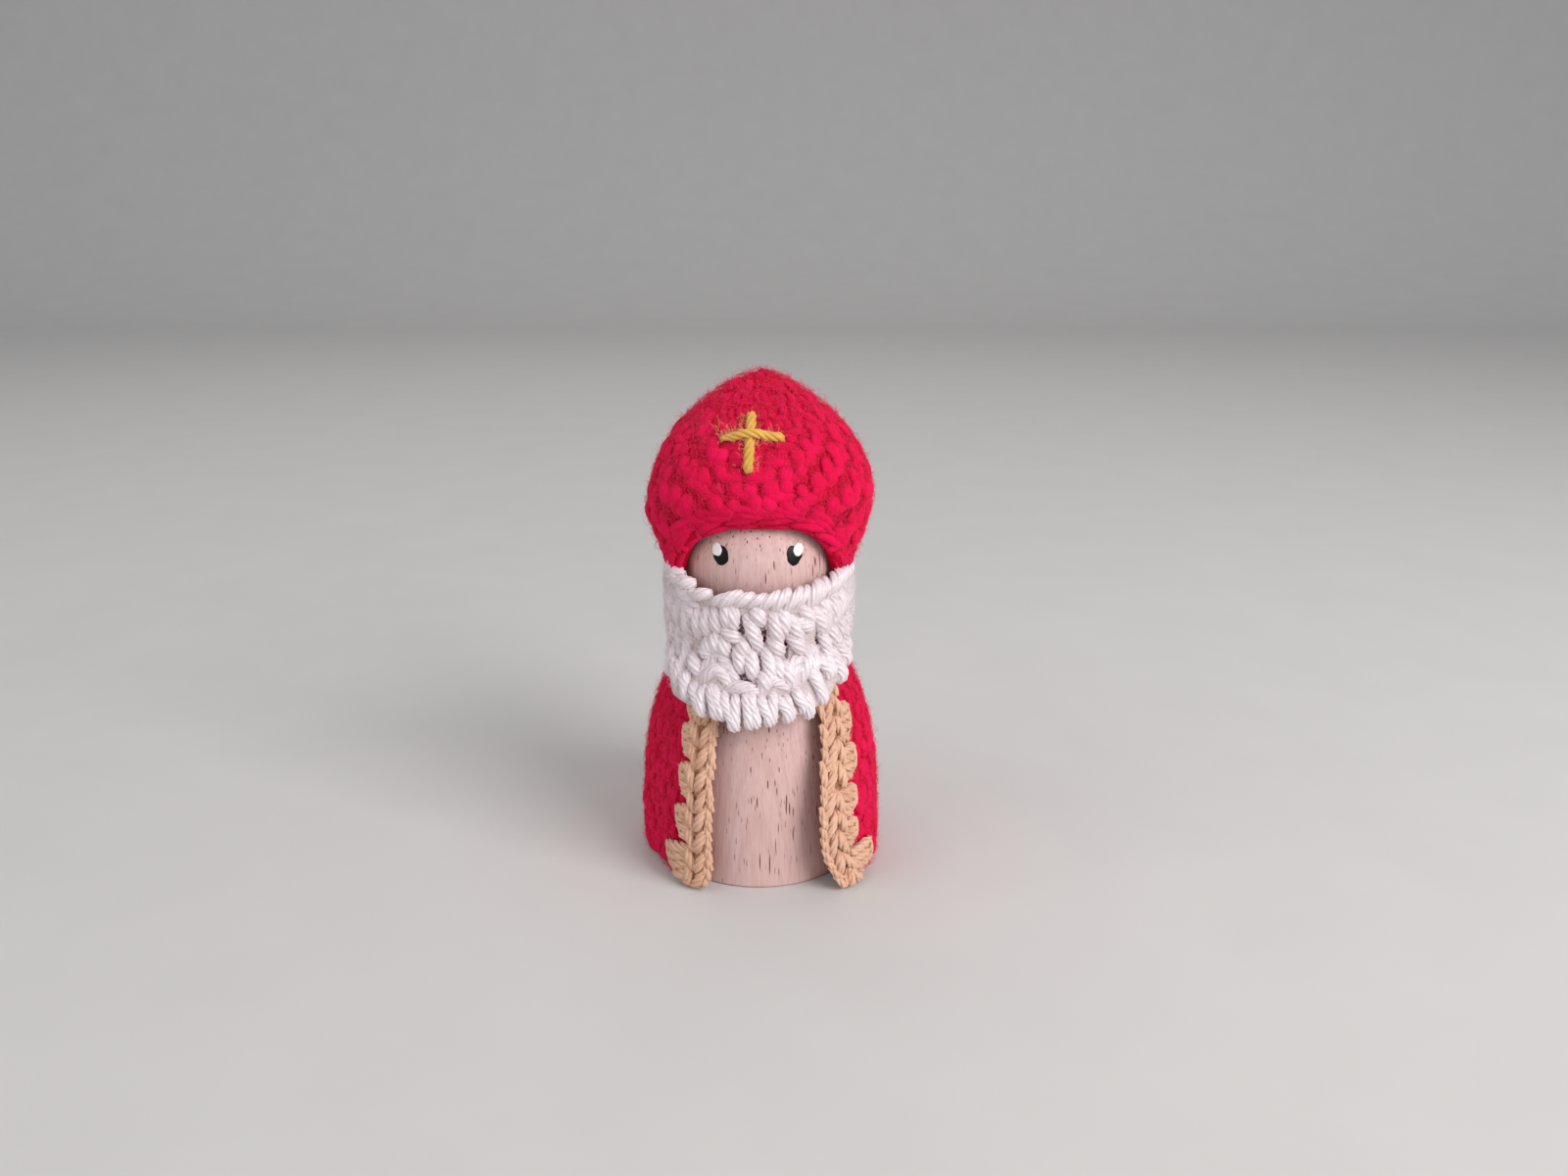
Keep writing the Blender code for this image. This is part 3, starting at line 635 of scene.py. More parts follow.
beech = beech_material()
black_paint = paint_material("black_eye_paint", srgb(16, 13, 15), srgb(5, 4, 5), 0.4)
white_paint = paint_material("white_eye_paint", srgb(248, 247, 244), srgb(228, 226, 222), 0.4)
red_yarn = yarn_material("brushed_red_yarn", srgb(252, 22, 92), srgb(210, 9, 54), (0.7, 5.0, 1.0), 260.0,
                         0.00022, Roughness=0.95, Sheen_Weight=0.25, Sheen_Roughness=0.5,
                         Sheen_Tint=srgb(255, 90, 130), Specular_IOR_Level=0.12)
red_fuzz = yarn_material("red_fuzz", srgb(250, 36, 98), srgb(218, 12, 60), (0.5, 2.0, 1.0), 300.0,
                         0.00002, Roughness=0.9, Sheen_Weight=0.15, Specular_IOR_Level=0.12)
# The three grounds behind the stitches get darker colours than their yarn: painted shade in the gaps between
# stitches
red_ground_painted_shade = felt_material("matted_red_yarn_painted_shade", srgb(230, 14, 62), srgb(184, 5, 38), 0.00025, Roughness=1.0,
                           Specular_IOR_Level=0.1)
white_yarn = yarn_material("glossy_white_yarn", srgb(248, 238, 241), srgb(224, 207, 210), (0.35, 6.0, 1.0),
                           180.0, 0.0001, Roughness=0.27, Specular_IOR_Level=0.85, Sheen_Weight=0.1)
white_fibres = yarn_material("white_fibres", srgb(250, 240, 243), srgb(232, 218, 222), (0.5, 2.0, 1.0),
                             300.0, 0.00002, Roughness=0.6, Sheen_Weight=0.1)
white_ground_painted_shade = felt_material("white_yarn_behind_painted_shade", srgb(232, 216, 216), srgb(196, 176, 172), 0.0002,
                             Roughness=0.9)
pale_fibres = yarn_material("pale_yellow_fibres", srgb(250, 222, 150), srgb(226, 178, 96), (0.5, 2.0, 1.0),
                            300.0, 0.00002, Roughness=0.8, Sheen_Weight=0.2)
gold_yarn = yarn_material("plied_gold_cotton", srgb(241, 198, 168), srgb(213, 161, 132), (0.4, 6.0, 1.0),
                          200.0, 0.00008, Roughness=0.75, Specular_IOR_Level=0.3, Sheen_Weight=0.15)
gold_ground_painted_shade = felt_material("gold_cotton_behind_painted_shade", srgb(196, 142, 100), srgb(144, 92, 58), 0.0002,
                            Roughness=0.95)
yellow_yarn = yarn_material("plied_yellow_yarn", srgb(240, 196, 92), srgb(206, 150, 50), (0.4, 6.0, 1.0),
                            300.0, 0.00008, Roughness=0.8, Sheen_Weight=0.2)


# Peg and painted eyes

def add_peg():
    """The turned peg: a profile of rings from the crown of the head down to the middle of the base."""
    neck_turn = math.pi - math.asin(NECK_RADIUS / HEAD_RADIUS)
    profile_steps = 90
    turned_steps = 192
    rounding = 0.5
    turn = np.linspace(0.02, neck_turn, profile_steps)
    head = np.stack([HEAD_RADIUS * np.sin(turn), HEAD_CENTRE + HEAD_RADIUS * np.cos(turn)], axis=-1)
    z = mix(rounding + 0.1, SHOULDER_HEIGHT, np.cos(np.linspace(0, math.pi / 2, profile_steps)))
    body = np.stack([peg_radius(z), z], axis=-1)
    corner = np.linspace(0, math.pi / 2, 8)
    edge = np.stack([BASE_RADIUS - rounding + rounding * np.cos(corner),
                     rounding - rounding * np.sin(corner)], axis=-1)
    base = np.stack([np.linspace(BASE_RADIUS - 2 * rounding, rounding, 12), np.zeros(12)], axis=-1)
    profile = np.concatenate([head, body, edge, base])
    around = np.linspace(0, 2 * math.pi, turned_steps, endpoint=False)
    rings = wrapped(around[None, :], profile[:, 0][:, None], profile[:, 1][:, None])
    crown = (0.0, 0.0, HEAD_CENTRE + HEAD_RADIUS)
    return put_rings("peg", rings, crown, (0.0, 0.0, 0.0), beech, "figure", "beech", ["peg_body"])


def add_paint_spot(name, x, rise, size, thick, lift, material, slot, seed, replaced):
    """An oval spot of paint on the round head: a flattened round drop with a slightly uneven edge."""
    random = np.random.default_rng(seed)
    around = np.linspace(0, 2 * math.pi, 48, endpoint=False)
    waves = [random.normal(0, 0.022) * np.cos(wave * around + random.uniform(0, 6)) for wave in (2, 3, 5, 8)]
    uneven = 1 + sum(waves)
    side = np.linspace(0, math.pi, 15)[1:-1, None]
    fullness = 0.55
    across = x + size[0] / 2 * np.sin(side) ** fullness * np.cos(around) * uneven
    up = rise + size[1] / 2 * np.sin(side) ** fullness * np.sin(around) * uneven
    reach = HEAD_RADIUS + lift + thick / 2 * (1 + np.cos(side))
    rings = np.stack([across, -np.sqrt(reach ** 2 - across ** 2 - up ** 2), HEAD_CENTRE + up], axis=-1)
    top = HEAD_RADIUS + lift + thick
    bottom = HEAD_RADIUS + lift
    poles = [(x, -math.sqrt(reach ** 2 - x ** 2 - rise ** 2), HEAD_CENTRE + rise) for reach in (top, bottom)]
    return put_rings(name, rings[:, ::-1], *poles, material, "figure", slot, replaced)


def add_eyes():
    """A black pupil on each side of the face, with a white glint over its upper outer part."""
    x = HEAD_RADIUS * math.sin(EYE_TURN)
    rise = HEAD_RADIUS * math.sin(EYE_LIFT)
    for seed, (side, sign) in enumerate((("left", -1), ("right", 1))):
        add_paint_spot("pupil_paint_" + side, sign * x, rise, PUPIL_SIZE, 0.16, -0.03, black_paint,
                       "black_paint", 5 + seed, ["pupil_" + side])
        add_paint_spot("glint_paint_" + side, sign * (x + GLINT_SHIFT[0]), rise + GLINT_SHIFT[1], GLINT_SIZE,
                       0.2, 0.04, white_paint, "white_paint", 9 + seed, ["eye_glint_" + side])


# Single crochet and its fuzz

def bent(surface, turn, up, across, along, lift):
    """Paths on a surface, from millimetres across, along and off it, measured from each stitch's own place."""
    angles = turn + across / reach_of(surface, turn, up)
    return lifted(surface, angles, up + along, lift)


def above_floor(paths):
    """The same paths, held up where they would dip towards what the figure stands on."""
    paths[..., 2] = np.maximum(paths[..., 2], YARN_FLOOR)
    return paths


def crochet(surface, turn, up, width, height, thick, seed, sunk):
    """Single crochet in brushed yarn: two flattened legs that lean together below, over a short bar.

    Every strand swells in the middle by half a sine wave and tucks in at both ends.
    """
    random = np.random.default_rng(seed)
    count = len(turn)
    width, height = width[:, None], height[:, None]
    thick = thick * width / 4.8
    along = np.linspace(0, 1, 7)[None, :]
    swell = np.sin(math.pi * along)
    bundles = []

    def lay(across, rise, lift, radii, squeeze, strand_seed):
        paths, outs = bent(surface, turn[:, None], up[:, None], across, rise, lift - sunk)
        bundles.append(carry(above_floor(paths), outs, radii, 8, squeeze=squeeze, seed=strand_seed))

    for side in (-1, 1):
        sway = random.normal(0, 0.22, (count, 1))
        tilt = random.normal(0, 0.26, (count, 1))
        size = random.normal(1.0, 0.11, (count, 1))
        across = side * width * (0.17 + 0.12 * along) + sway + tilt * (along - 0.5) * height
        rise = height * size * (along - 0.48) + random.normal(0, 0.2, (count, 1))
        lift = -0.56 + 0.34 * swell ** 0.8 + random.normal(0, 0.1, (count, 1))
        lay(across, rise, lift, thick * size * (0.5 + 0.5 * swell ** 0.7), 0.44, seed + 2 + side)
    across = width * (1.1 * along - 0.55) + random.normal(0, 0.1, (count, 1))
    rise = -0.5 * height + 0.35 * swell + random.normal(0, 0.12, (count, 1))
    lift = -0.72 + 0.4 * swell + random.normal(0, 0.1, (count, 1))
    lay(across, rise, lift, 0.85 * thick * (0.5 + 0.5 * swell), 0.5, seed + 5)
    return bundles


def hairs(surface, turn, up, length, rise, thick, seed, root=0.0, bend=1.4):
    """Loose fibres: thin tapering strands that curve away over the surface as they rise from it."""
    random = np.random.default_rng(seed)
    count = len(turn)
    rings = 5
    along = np.linspace(0, 1, rings)[None, :]
    heading = random.uniform(0, 2 * math.pi, (count, 1)) + random.normal(0, bend, (count, 1)) * along
    lengths = length * random.uniform(0.45, 1.3, (count, 1))
    across = np.cumsum(np.cos(heading), axis=1) * lengths / rings
    climb = np.cumsum(np.sin(heading), axis=1) * lengths / rings
    rises = rise * random.uniform(0.2, 1.3, (count, 1)) ** 1.5
    arch = np.sin(math.pi * np.minimum(along * random.uniform(0.4, 1.0, (count, 1)), 1.0))
    lift = root + rises * arch
    paths, outs = bent(surface, turn[:, None], up[:, None], across, climb, lift)
    radii = thick * random.uniform(0.7, 1.3, (count, 1)) * (1 - 0.75 * along)
    return carry(above_floor(paths), outs, radii, 3, seed=seed)


def add_fuzz(owner, surface, body, places, seeds, halo_rise):
    """Three layers of fuzz over red yarn: hairs that lie down, short ones under them, and a thin halo.

    Each layer is its hairs' length, rise, thickness and root, from its own places on the surface.
    """
    layers = {"fuzz": (2.2, 0.4, 0.042, 0.0), "down": (1.5, 0.3, 0.05, -0.25),
              "halo": (2.4, halo_rise, 0.026, 0.0)}
    pieces = []
    for layer, (length, rise, thick, root) in layers.items():
        strands = hairs(surface, *places[layer], length, rise, thick, seeds[layer], root)
        pieces.append(put_strands(owner + "_" + layer, [strands], red_fuzz, body))
    return pieces


def holes_between(columns, rows, pitch, height):
    """Depth of the small holes at the foot of each stitch: round dips, half a stitch along each next row."""
    row = np.round(rows)
    across = ((columns + 0.5 * (row % 2)) % 1 - 0.5) * pitch
    along = (rows - row) * height
    return 0.75 * np.exp(-(across / 0.5) ** 2 - (along / 0.42) ** 2)


def rim_places():
    """Angles at even spacing along the mitre's rim, one for each of its stitches."""
    run = run_along(mitre(MITRE_ANGLES, rim_up(MITRE_ANGLES)))
    count = int(round(run[-1] / RIM_STITCH))
    return np.interp((np.arange(count) + 0.5) / count * run[-1], run, MITRE_ANGLES)


def mitre_columns():
    """How far round the mitre's widest level each of its angles is."""
    return run_along(mitre_level(MITRE_ANGLES, MITRE_WIDEST))


def mitre_stitches():
    """Rounds evenly tall from the rim to the peak, as in the CAD: each next one stands half a stitch along.

    Gives each stitch's place, width and height. Rounds near the peak have half as many stitches.
    """
    run = mitre_columns()
    spacing = np.gradient(MITRE_ANGLES, run)
    stitches = []
    for row in range(1, MITRE_ROUNDS):
        number = MITRE_STITCHES if row < MITRE_ROUNDS - 2 else MITRE_STITCHES // 2
        share = (np.arange(number) + 0.5 - 0.5 * (row % 2)) / number
        turn = half_turn(np.interp(share * run[-1], run, MITRE_ANGLES))
        total = -rim_up(turn)
        up = -total * (1 - (row + 0.5) / MITRE_ROUNDS)
        width = reach_of(mitre, turn, up) * np.interp(turn, MITRE_ANGLES, spacing) * run[-1] / number
        stitches.append(np.stack([turn, up, width, total / MITRE_ROUNDS]))
    return np.concatenate(stitches, axis=1)


def measure_rim():
    """Angles round the mitre's rim, how far along it each of them is, and how steeply the rim climbs there."""
    turns = np.linspace(-math.pi, math.pi, 721)
    ups = rim_up(turns)
    return turns, run_along(mitre(turns, ups)), np.gradient(ups, turns) / reach_of(mitre, turns, ups)


rim_turns, rim_run, rim_slope = measure_rim()


def on_rim(turn, across, offset, lift):
    """Paths that follow the mitre's rim: this far on along its line, and this far from it square to it."""
    angles = np.interp((np.interp(turn, rim_turns, rim_run) + across) % rim_run[-1], rim_run, rim_turns)
    slope = np.interp(angles, rim_turns, rim_slope)
    long = np.hypot(1.0, slope)
    aside = angles - offset * slope / long / reach_of(mitre, angles, rim_up(angles))
    return lifted(mitre, aside, rim_up(angles) + offset / long, lift)


def rim_loops(turn, offsets, across, thick, seed, sunk=0.0):
    """Long slanting loops of the rim: each runs from one height above the edge to another.

    Its places along the rim are shares of a stitch, and it tucks in at both ends, which leaves a small hole.
    """
    random = np.random.default_rng(seed)
    along = np.linspace(0, 1, 14)[None, :]
    swell = np.sin(math.pi * along)
    bundles = []
    for step in (-1, 1):
        run = RIM_STITCH * mix(across[0], across[1], along) + random.normal(0, 0.15, (len(turn), 1))
        offset = mix(offsets[0], offsets[1], along ** 0.8) + random.normal(0, 0.1, (len(turn), 1))
        lift = -0.62 - sunk + 0.5 * swell ** 0.6 + random.normal(0, 0.05, (len(turn), 1))
        paths, outs = on_rim(turn[:, None], run, offset + step * 0.42, lift)
        radii = thick * (0.45 + 0.55 * swell ** 0.7) * random.normal(1, 0.05, (len(turn), 1))
        bundles.append(carry(paths, outs, radii, 10, plies=3, lay=9.0, depth=0.3, squeeze=0.7,
                             seed=seed + step + 3))
    return bundles


def mitre_places(count, seed):
    """Places spread evenly over the mitre, above its rim: tries are kept as often as the mitre is wide there."""
    tries = 6 * count
    lowest, widest = -50.0, 19
    random = np.random.default_rng(seed)
    angles = random.uniform(-math.pi, math.pi, tries)
    ups = random.uniform(lowest, 0.0, tries)
    wide = reach_of(mitre, angles, ups)
    kept = (ups > rim_up(angles) + 1.5) & (random.uniform(0, widest, tries) < wide)
    return angles[kept][:count], ups[kept][:count]


def add_mitre():
    """The mitre: a matted shell, rounds of single crochet over it, a chain along its rim and loose fuzz."""
    columns, rows = 360, 130
    around = np.linspace(-math.pi, math.pi, columns, endpoint=False)
    share = np.linspace(0.012, 1.0, rows)[:, None]
    low = rim_up(around)
    ups = low * share + 0.4
    run = mitre_columns()
    stitch = np.interp(around, MITRE_ANGLES, run) / run[-1] * MITRE_STITCHES
    rounds = MITRE_ROUNDS * (1 - share) + 0 * stitch
    pitch = reach_of(mitre, around, ups) * 2 * math.pi / MITRE_STITCHES
    holes = holes_between(stitch, rounds, pitch, -low / MITRE_ROUNDS)
    holes = holes * fade(rounds, 0.5, 1.0) * (1 - fade(rounds, 8.5, 9.5))
    outer, _ = lifted(mitre, around[None, :], ups, -0.38 - holes)
    bars = np.sin(math.pi * rounds) ** 2 * (0.7 + 0.3 * np.cos(4 * math.pi * stitch))
    bars = bars * fade(rounds, 0.3, 0.8) * (1 - fade(rounds, 9.0, 10.0))
    inner, _ = lifted(mitre, around[None, :], ups[::2], -2.15 - 0.35 * bars[::2])
    edge = [lifted(mitre, around, low + 0.4 - drop, depth + 0 * low)[0] for drop, depth in
            ((0.2, -0.8), (0.4, -1.5), (0.2, -2.25))]
    rings = np.concatenate([outer, np.stack(edge), inner[::-1]])
    peak = mitre(0.0, 0.0)
    put_rings("mitre_ground", rings, peak - (0, 0, 0.85), peak - (0, 0, 2.4), red_ground_painted_shade, "mitre", "red_yarn",
              ["mitre"])
    stitches = mitre_stitches()
    sunk = 0.2 * fade(stitches[1], -19.0, -8.0)[:, None]
    put_strands("mitre_stitches", crochet(mitre, *stitches, 1.22, 11, sunk), red_yarn, "mitre")
    rim_turn = rim_places()
    rim = rim_loops(rim_turn, (0.95, 2.0), (-0.5, 0.62), 0.8, 21)
    rim += rim_loops(rim_turn, (3.1, 2.1), (-0.28, 0.8), 0.78, 24)
    rim += rim_loops(rim_turn, (0.75, 0.95), (-0.4, 0.75), 0.9, 27, 0.85)
    put_strands("mitre_rim", rim, red_yarn, "mitre")
    lying = MITRE_HAIRS["fuzz"]
    angles, ups = mitre_places(lying + MITRE_HAIRS["halo"], 31)
    places = {"fuzz": (angles[:lying], ups[:lying]), "down": mitre_places(MITRE_HAIRS["down"], 34),
              "halo": (angles[lying:], ups[lying:])}
    add_fuzz("mitre", mitre, "mitre", places, {"fuzz": 32, "down": 35, "halo": 33}, 0.95)


# Cross on the mitre

def mitre_front(x, rise):
    """The front of the mitre, this far from its middle and this far up from the head's centre."""
    x, rise = np.broadcast_arrays(np.asarray(x, float), rise)
    angle = np.arcsin(np.clip(x / MITRE_HALF_WIDTH, -1.0, 1.0))
    for _ in range(12):
        radius = np.linalg.norm((mitre_level(angle, rise) - [PEAK_RIGHT, 0, 0])[..., :2], axis=-1)
        angle = np.arcsin(np.clip((x - PEAK_RIGHT) / radius, -1.0, 1.0))
    return mitre_level(angle, rise)


def add_cross():
    """Two straight stitches of plied yellow yarn that end in the mitre. The bar lies over the upright."""
    share = np.linspace(0, 1, 40)
    dive = fade(share, 0.07, 0.0) + fade(share, 0.93, 1.0)
    rise = mix(16.6, 25.0, share)
    upright, upright_out = lifted(mitre_front, -1.3 + 0.7 * share, rise, 0.5 - 1.7 * dive)
    x = mix(-5.6, 3.9, share)
    hump = 1 - fade(np.abs(x + 0.9), 0.5, 2.6)
    bow = 0.5 * (1 - ((x + 1.5) / 4.6) ** 2)
    bar, bar_out = lifted(mitre_front, x, 21.3 + 0.06 * x + bow, 0.45 - 1.5 * dive + 0.75 * hump)
    thick = 0.82 * (1 - 0.35 * dive)
    pointed = 0.78 * (0.5 + 0.5 * fade(share, 0.0, 0.3)) * (1 - 0.3 * dive)
    for name, path, out, radius, seed in (("cross_upright", upright, upright_out, thick, 41),
                                          ("cross_bar", bar, bar_out, pointed, 42)):
        strand = carry(path[None], out[None], radius[None], 32, plies=4, lay=6.0, depth=0.75, squeeze=0.9,
                       seed=seed)
        put_strands(name, [strand], yellow_yarn, "mitre", [name + "_stitch"])
    random = np.random.default_rng(43)
    stray = (random.uniform(-5.4, -1.5, 30), random.normal(22.5, 0.5, 30), 2.0, 0.7, 0.026, 44, 0.35, 2.0)
    level = (random.uniform(-5.5, 3.5, 240), random.normal(21.5, 0.5, 240), 0.9, 0.8, 0.028, 45, 0.55, 1.5)
    upright = (random.normal(-1.0, 0.6, 220), random.uniform(16.9, 24.6, 220), 0.9, 0.8, 0.028, 46, 0.55, 1.5)
    wisps = [hairs(mitre_front, *group) for group in (stray, level, upright)]
    put_strands("cross_wisps", wisps, pale_fibres, "mitre")


# Cape

def cape_edges(z):
    """The cape's front edges at a height: from the right one round the back to the left one."""
    inset = TRIM_OVERHANG / (BASE_RADIUS + HEM_EASE)
    corner = CORNER_BACK / (BASE_RADIUS + HEM_EASE) * (1 - fade(z, CAPE_HEM, CORNER_HEIGHT))
    return front_opening(1, z) + inset + corner, 2 * math.pi - front_opening(-1, z) - inset


def cape_slope():
    """Heights up the cape's back, and how far up its slope each of them is."""
    z = np.linspace(CAPE_HEM, CAPE_TOP, 60)
    return z, run_along(np.stack([z, cape_inner(math.pi + 0 * z, z)], axis=-1))


def cape_stitches():
    """Rows even along the slope of the cape's back, as in the CAD: each next one stands half a stitch along.

    Gives each stitch's place, width and height.
    """
    z, run = cape_slope()
    stitches = []
    for row in range(CAPE_ROWS):
        share = (np.arange(CAPE_STITCHES - row % 2) + 0.5 + 0.5 * (row % 2)) / CAPE_STITCHES
        foot, middle, head = np.interp(np.array([row, row + 0.5, row + 1]) / CAPE_ROWS * run[-1], run, z)
        height = middle + 0 * share
        first, last = cape_edges(height)
        turn = mix(first, last, share)
        width = reach_of(cape, turn, height) * (last - first) / CAPE_STITCHES
        stitches.append(np.stack([turn, height, width, head - foot + 0 * share]))
    return np.concatenate(stitches, axis=1)


def put_sheet(name, surface, columns, rows, place, thickness, material, body, replaced, holes=None):
    """A sheet from a grid of places on a surface, given a wall by Solidify. Faces in holes are left out."""
    u, v = np.meshgrid(np.linspace(0, 1, columns), np.linspace(0, 1, rows))
    first, second, lift = place(u, v)
    points, _ = lifted(surface, first, second, lift)
    quads = cell_corners(np.arange(columns * rows).reshape(1, rows, columns)).reshape(-1, 4)
    if holes is not None:
        middle_a = first.ravel()[quads].mean(axis=1)
        middle_b = second.ravel()[quads].mean(axis=1)
        quads = quads[~holes(middle_a, middle_b)]
    used, renumbered = np.unique(quads, return_inverse=True)
    piece = put_mesh(name, points.reshape(-1, 3)[used], [renumbered.reshape(-1, 4)], None, None, material,
                     body, replaced)
    wall = piece.modifiers.new("wall", "SOLIDIFY")
    wall.thickness = thickness * MM
    wall.offset = -1.0
    wall.use_even_offset = False
    return piece


def add_cape():
    """The cape: a matted sheet, rows of single crochet over it, and loose fuzz."""
    heights, run = cape_slope()

    def ground(u, v):
        z = mix(CAPE_HEM, CAPE_TOP, v)
        first, last = cape_edges(z)
        rows = np.interp(z, heights, run) / run[-1] * CAPE_ROWS
        pitch = reach_of(cape, mix(first, last, u), z) * (last - first) / CAPE_STITCHES
        holes = holes_between(u * CAPE_STITCHES + 0.5, rows, pitch, run[-1] / CAPE_ROWS)
        return mix(first, last, u), z, -0.38 - 0.4 * holes * fade(rows, 0.3, 0.8)

    sheet = put_sheet("cape_ground", cape, 320, 110, ground, 1.0, red_ground_painted_shade, "figure", ["cape"])
    stitches = cape_stitches()
    covered = 1 - fade(np.abs(half_turn(stitches[0])), math.radians(44), math.radians(56))
    legs = crochet(cape, *stitches, 1.2, 51, 0.1 + 0.15 * covered[:, None])
    pieces = [put_strands("cape_stitches", legs, red_yarn, "figure")]
    random = np.random.default_rng(52)
    lying, short = CAPE_HAIRS["fuzz"], CAPE_HAIRS["down"]
    count = lying + CAPE_HAIRS["halo"]
    z = mix(CAPE_HEM, CAPE_TOP + 0.8, random.uniform(0, 1, count))
    first, last = cape_edges(z)
    angle = mix(first + 0.2, last - 0.2, random.uniform(0, 1, count))
    under = mix(first + 0.1, last - 0.1, random.uniform(0, 1, count))
    places = {"fuzz": (angle[:lying], z[:lying]), "down": (under[:short], z[::-1][:short]),
              "halo": (angle[lying:], z[lying:])}
    pieces += add_fuzz("cape", cape, "figure", places, {"fuzz": 53, "down": 55, "halo": 54}, 0.9)
    return sheet, pieces


def add_neck_chain():
    """A chain round the neck, above the cape: two strands a stitch that start apart and then close up."""
    middle = NECK_RADIUS + FIT + CHAIN_RADIUS
    height = CAPE_TOP + 2 * CHAIN_RADIUS
    pitch = 2 * math.pi * middle / NECK_STITCHES
    thick = 0.62
    shape = (NECK_STITCHES, 1)
    turn = np.linspace(0, 2 * math.pi, NECK_STITCHES, endpoint=False)[:, None]
    along = np.linspace(0, 1, 12)[None, :]
    swell = np.sin(math.pi * along)
    random = np.random.default_rng(61)
    bundles = []

    def neck(angle, z):
        return wrapped(angle, middle + 0 * z, z)

    for side in (-1, 1):
        across = pitch * (1.45 * along - 0.5) + random.normal(0, 0.12, shape)
        offset = side * 0.55 * (1 - along ** 2) + random.normal(0, 0.08, shape)
        lift = -0.85 * thick + 0.6 * thick * swell ** 0.7
        paths, outs = lifted(neck, turn + across / middle, height + offset, lift)
        radii = thick * (0.6 + 0.4 * swell) * random.normal(1, 0.05, shape)
        bundles.append(carry(paths, outs, radii, 10, plies=3, lay=9.0, depth=0.35, seed=64 + side))
    return put_strands("neck_tie", bundles, red_yarn, "figure", ["neck_chain"])


# Trims down the cape's front edges

def fan_profile(share, side):
    """How far a tooth stands out, from its near edge at 0 to where it has run back into the column at 1.

    On the left it is widest at once and tapers. On the right it slants out, stays wide and ends squarely.
    """
    if side < 0:
        return np.sqrt(np.clip(1 - np.clip((share - 0.02) / 0.98, 0, 1) ** 1.9, 0, 1))
    return np.minimum(0.4 + 2.0 * share, 1.0) * np.sqrt(1 - np.clip((share - 0.68) / 0.32, 0, 1) ** 2.5)


def tooth_reach(out, share, side):
    """How far across a tooth goes at a share of its height, from the column's width to its full reach."""
    return COLUMN_WIDTH + (out - COLUMN_WIDTH) * fan_profile(share, side)


def trim_reach(fans, side, z):
    """How far across the trim goes at a height: the column's width, or the tooth that is there."""
    reach = np.full(np.shape(z), COLUMN_WIDTH)
    for flat, far, out in fans:
        share = (flat - z) / (flat - far)
        inside = (share >= 0) & (share <= 1)
        reach = np.where(inside, tooth_reach(out, share, side), reach)
    return reach


def tooth_tilt(side, across):
    """How far a tooth is raised this far across: it slopes evenly from where it leaves the column."""
    return FAN_TILT[side] * np.maximum(across - FAN_TILT_FROM, 0.0) / FAN_TILT_RUN


def lean(z, foot):
    """How far out the column leans at its foot: foot[0] millimetres at the floor, and none from foot[1] up."""
    return foot[0] * (1 - fade(z, -1.0, foot[1]))


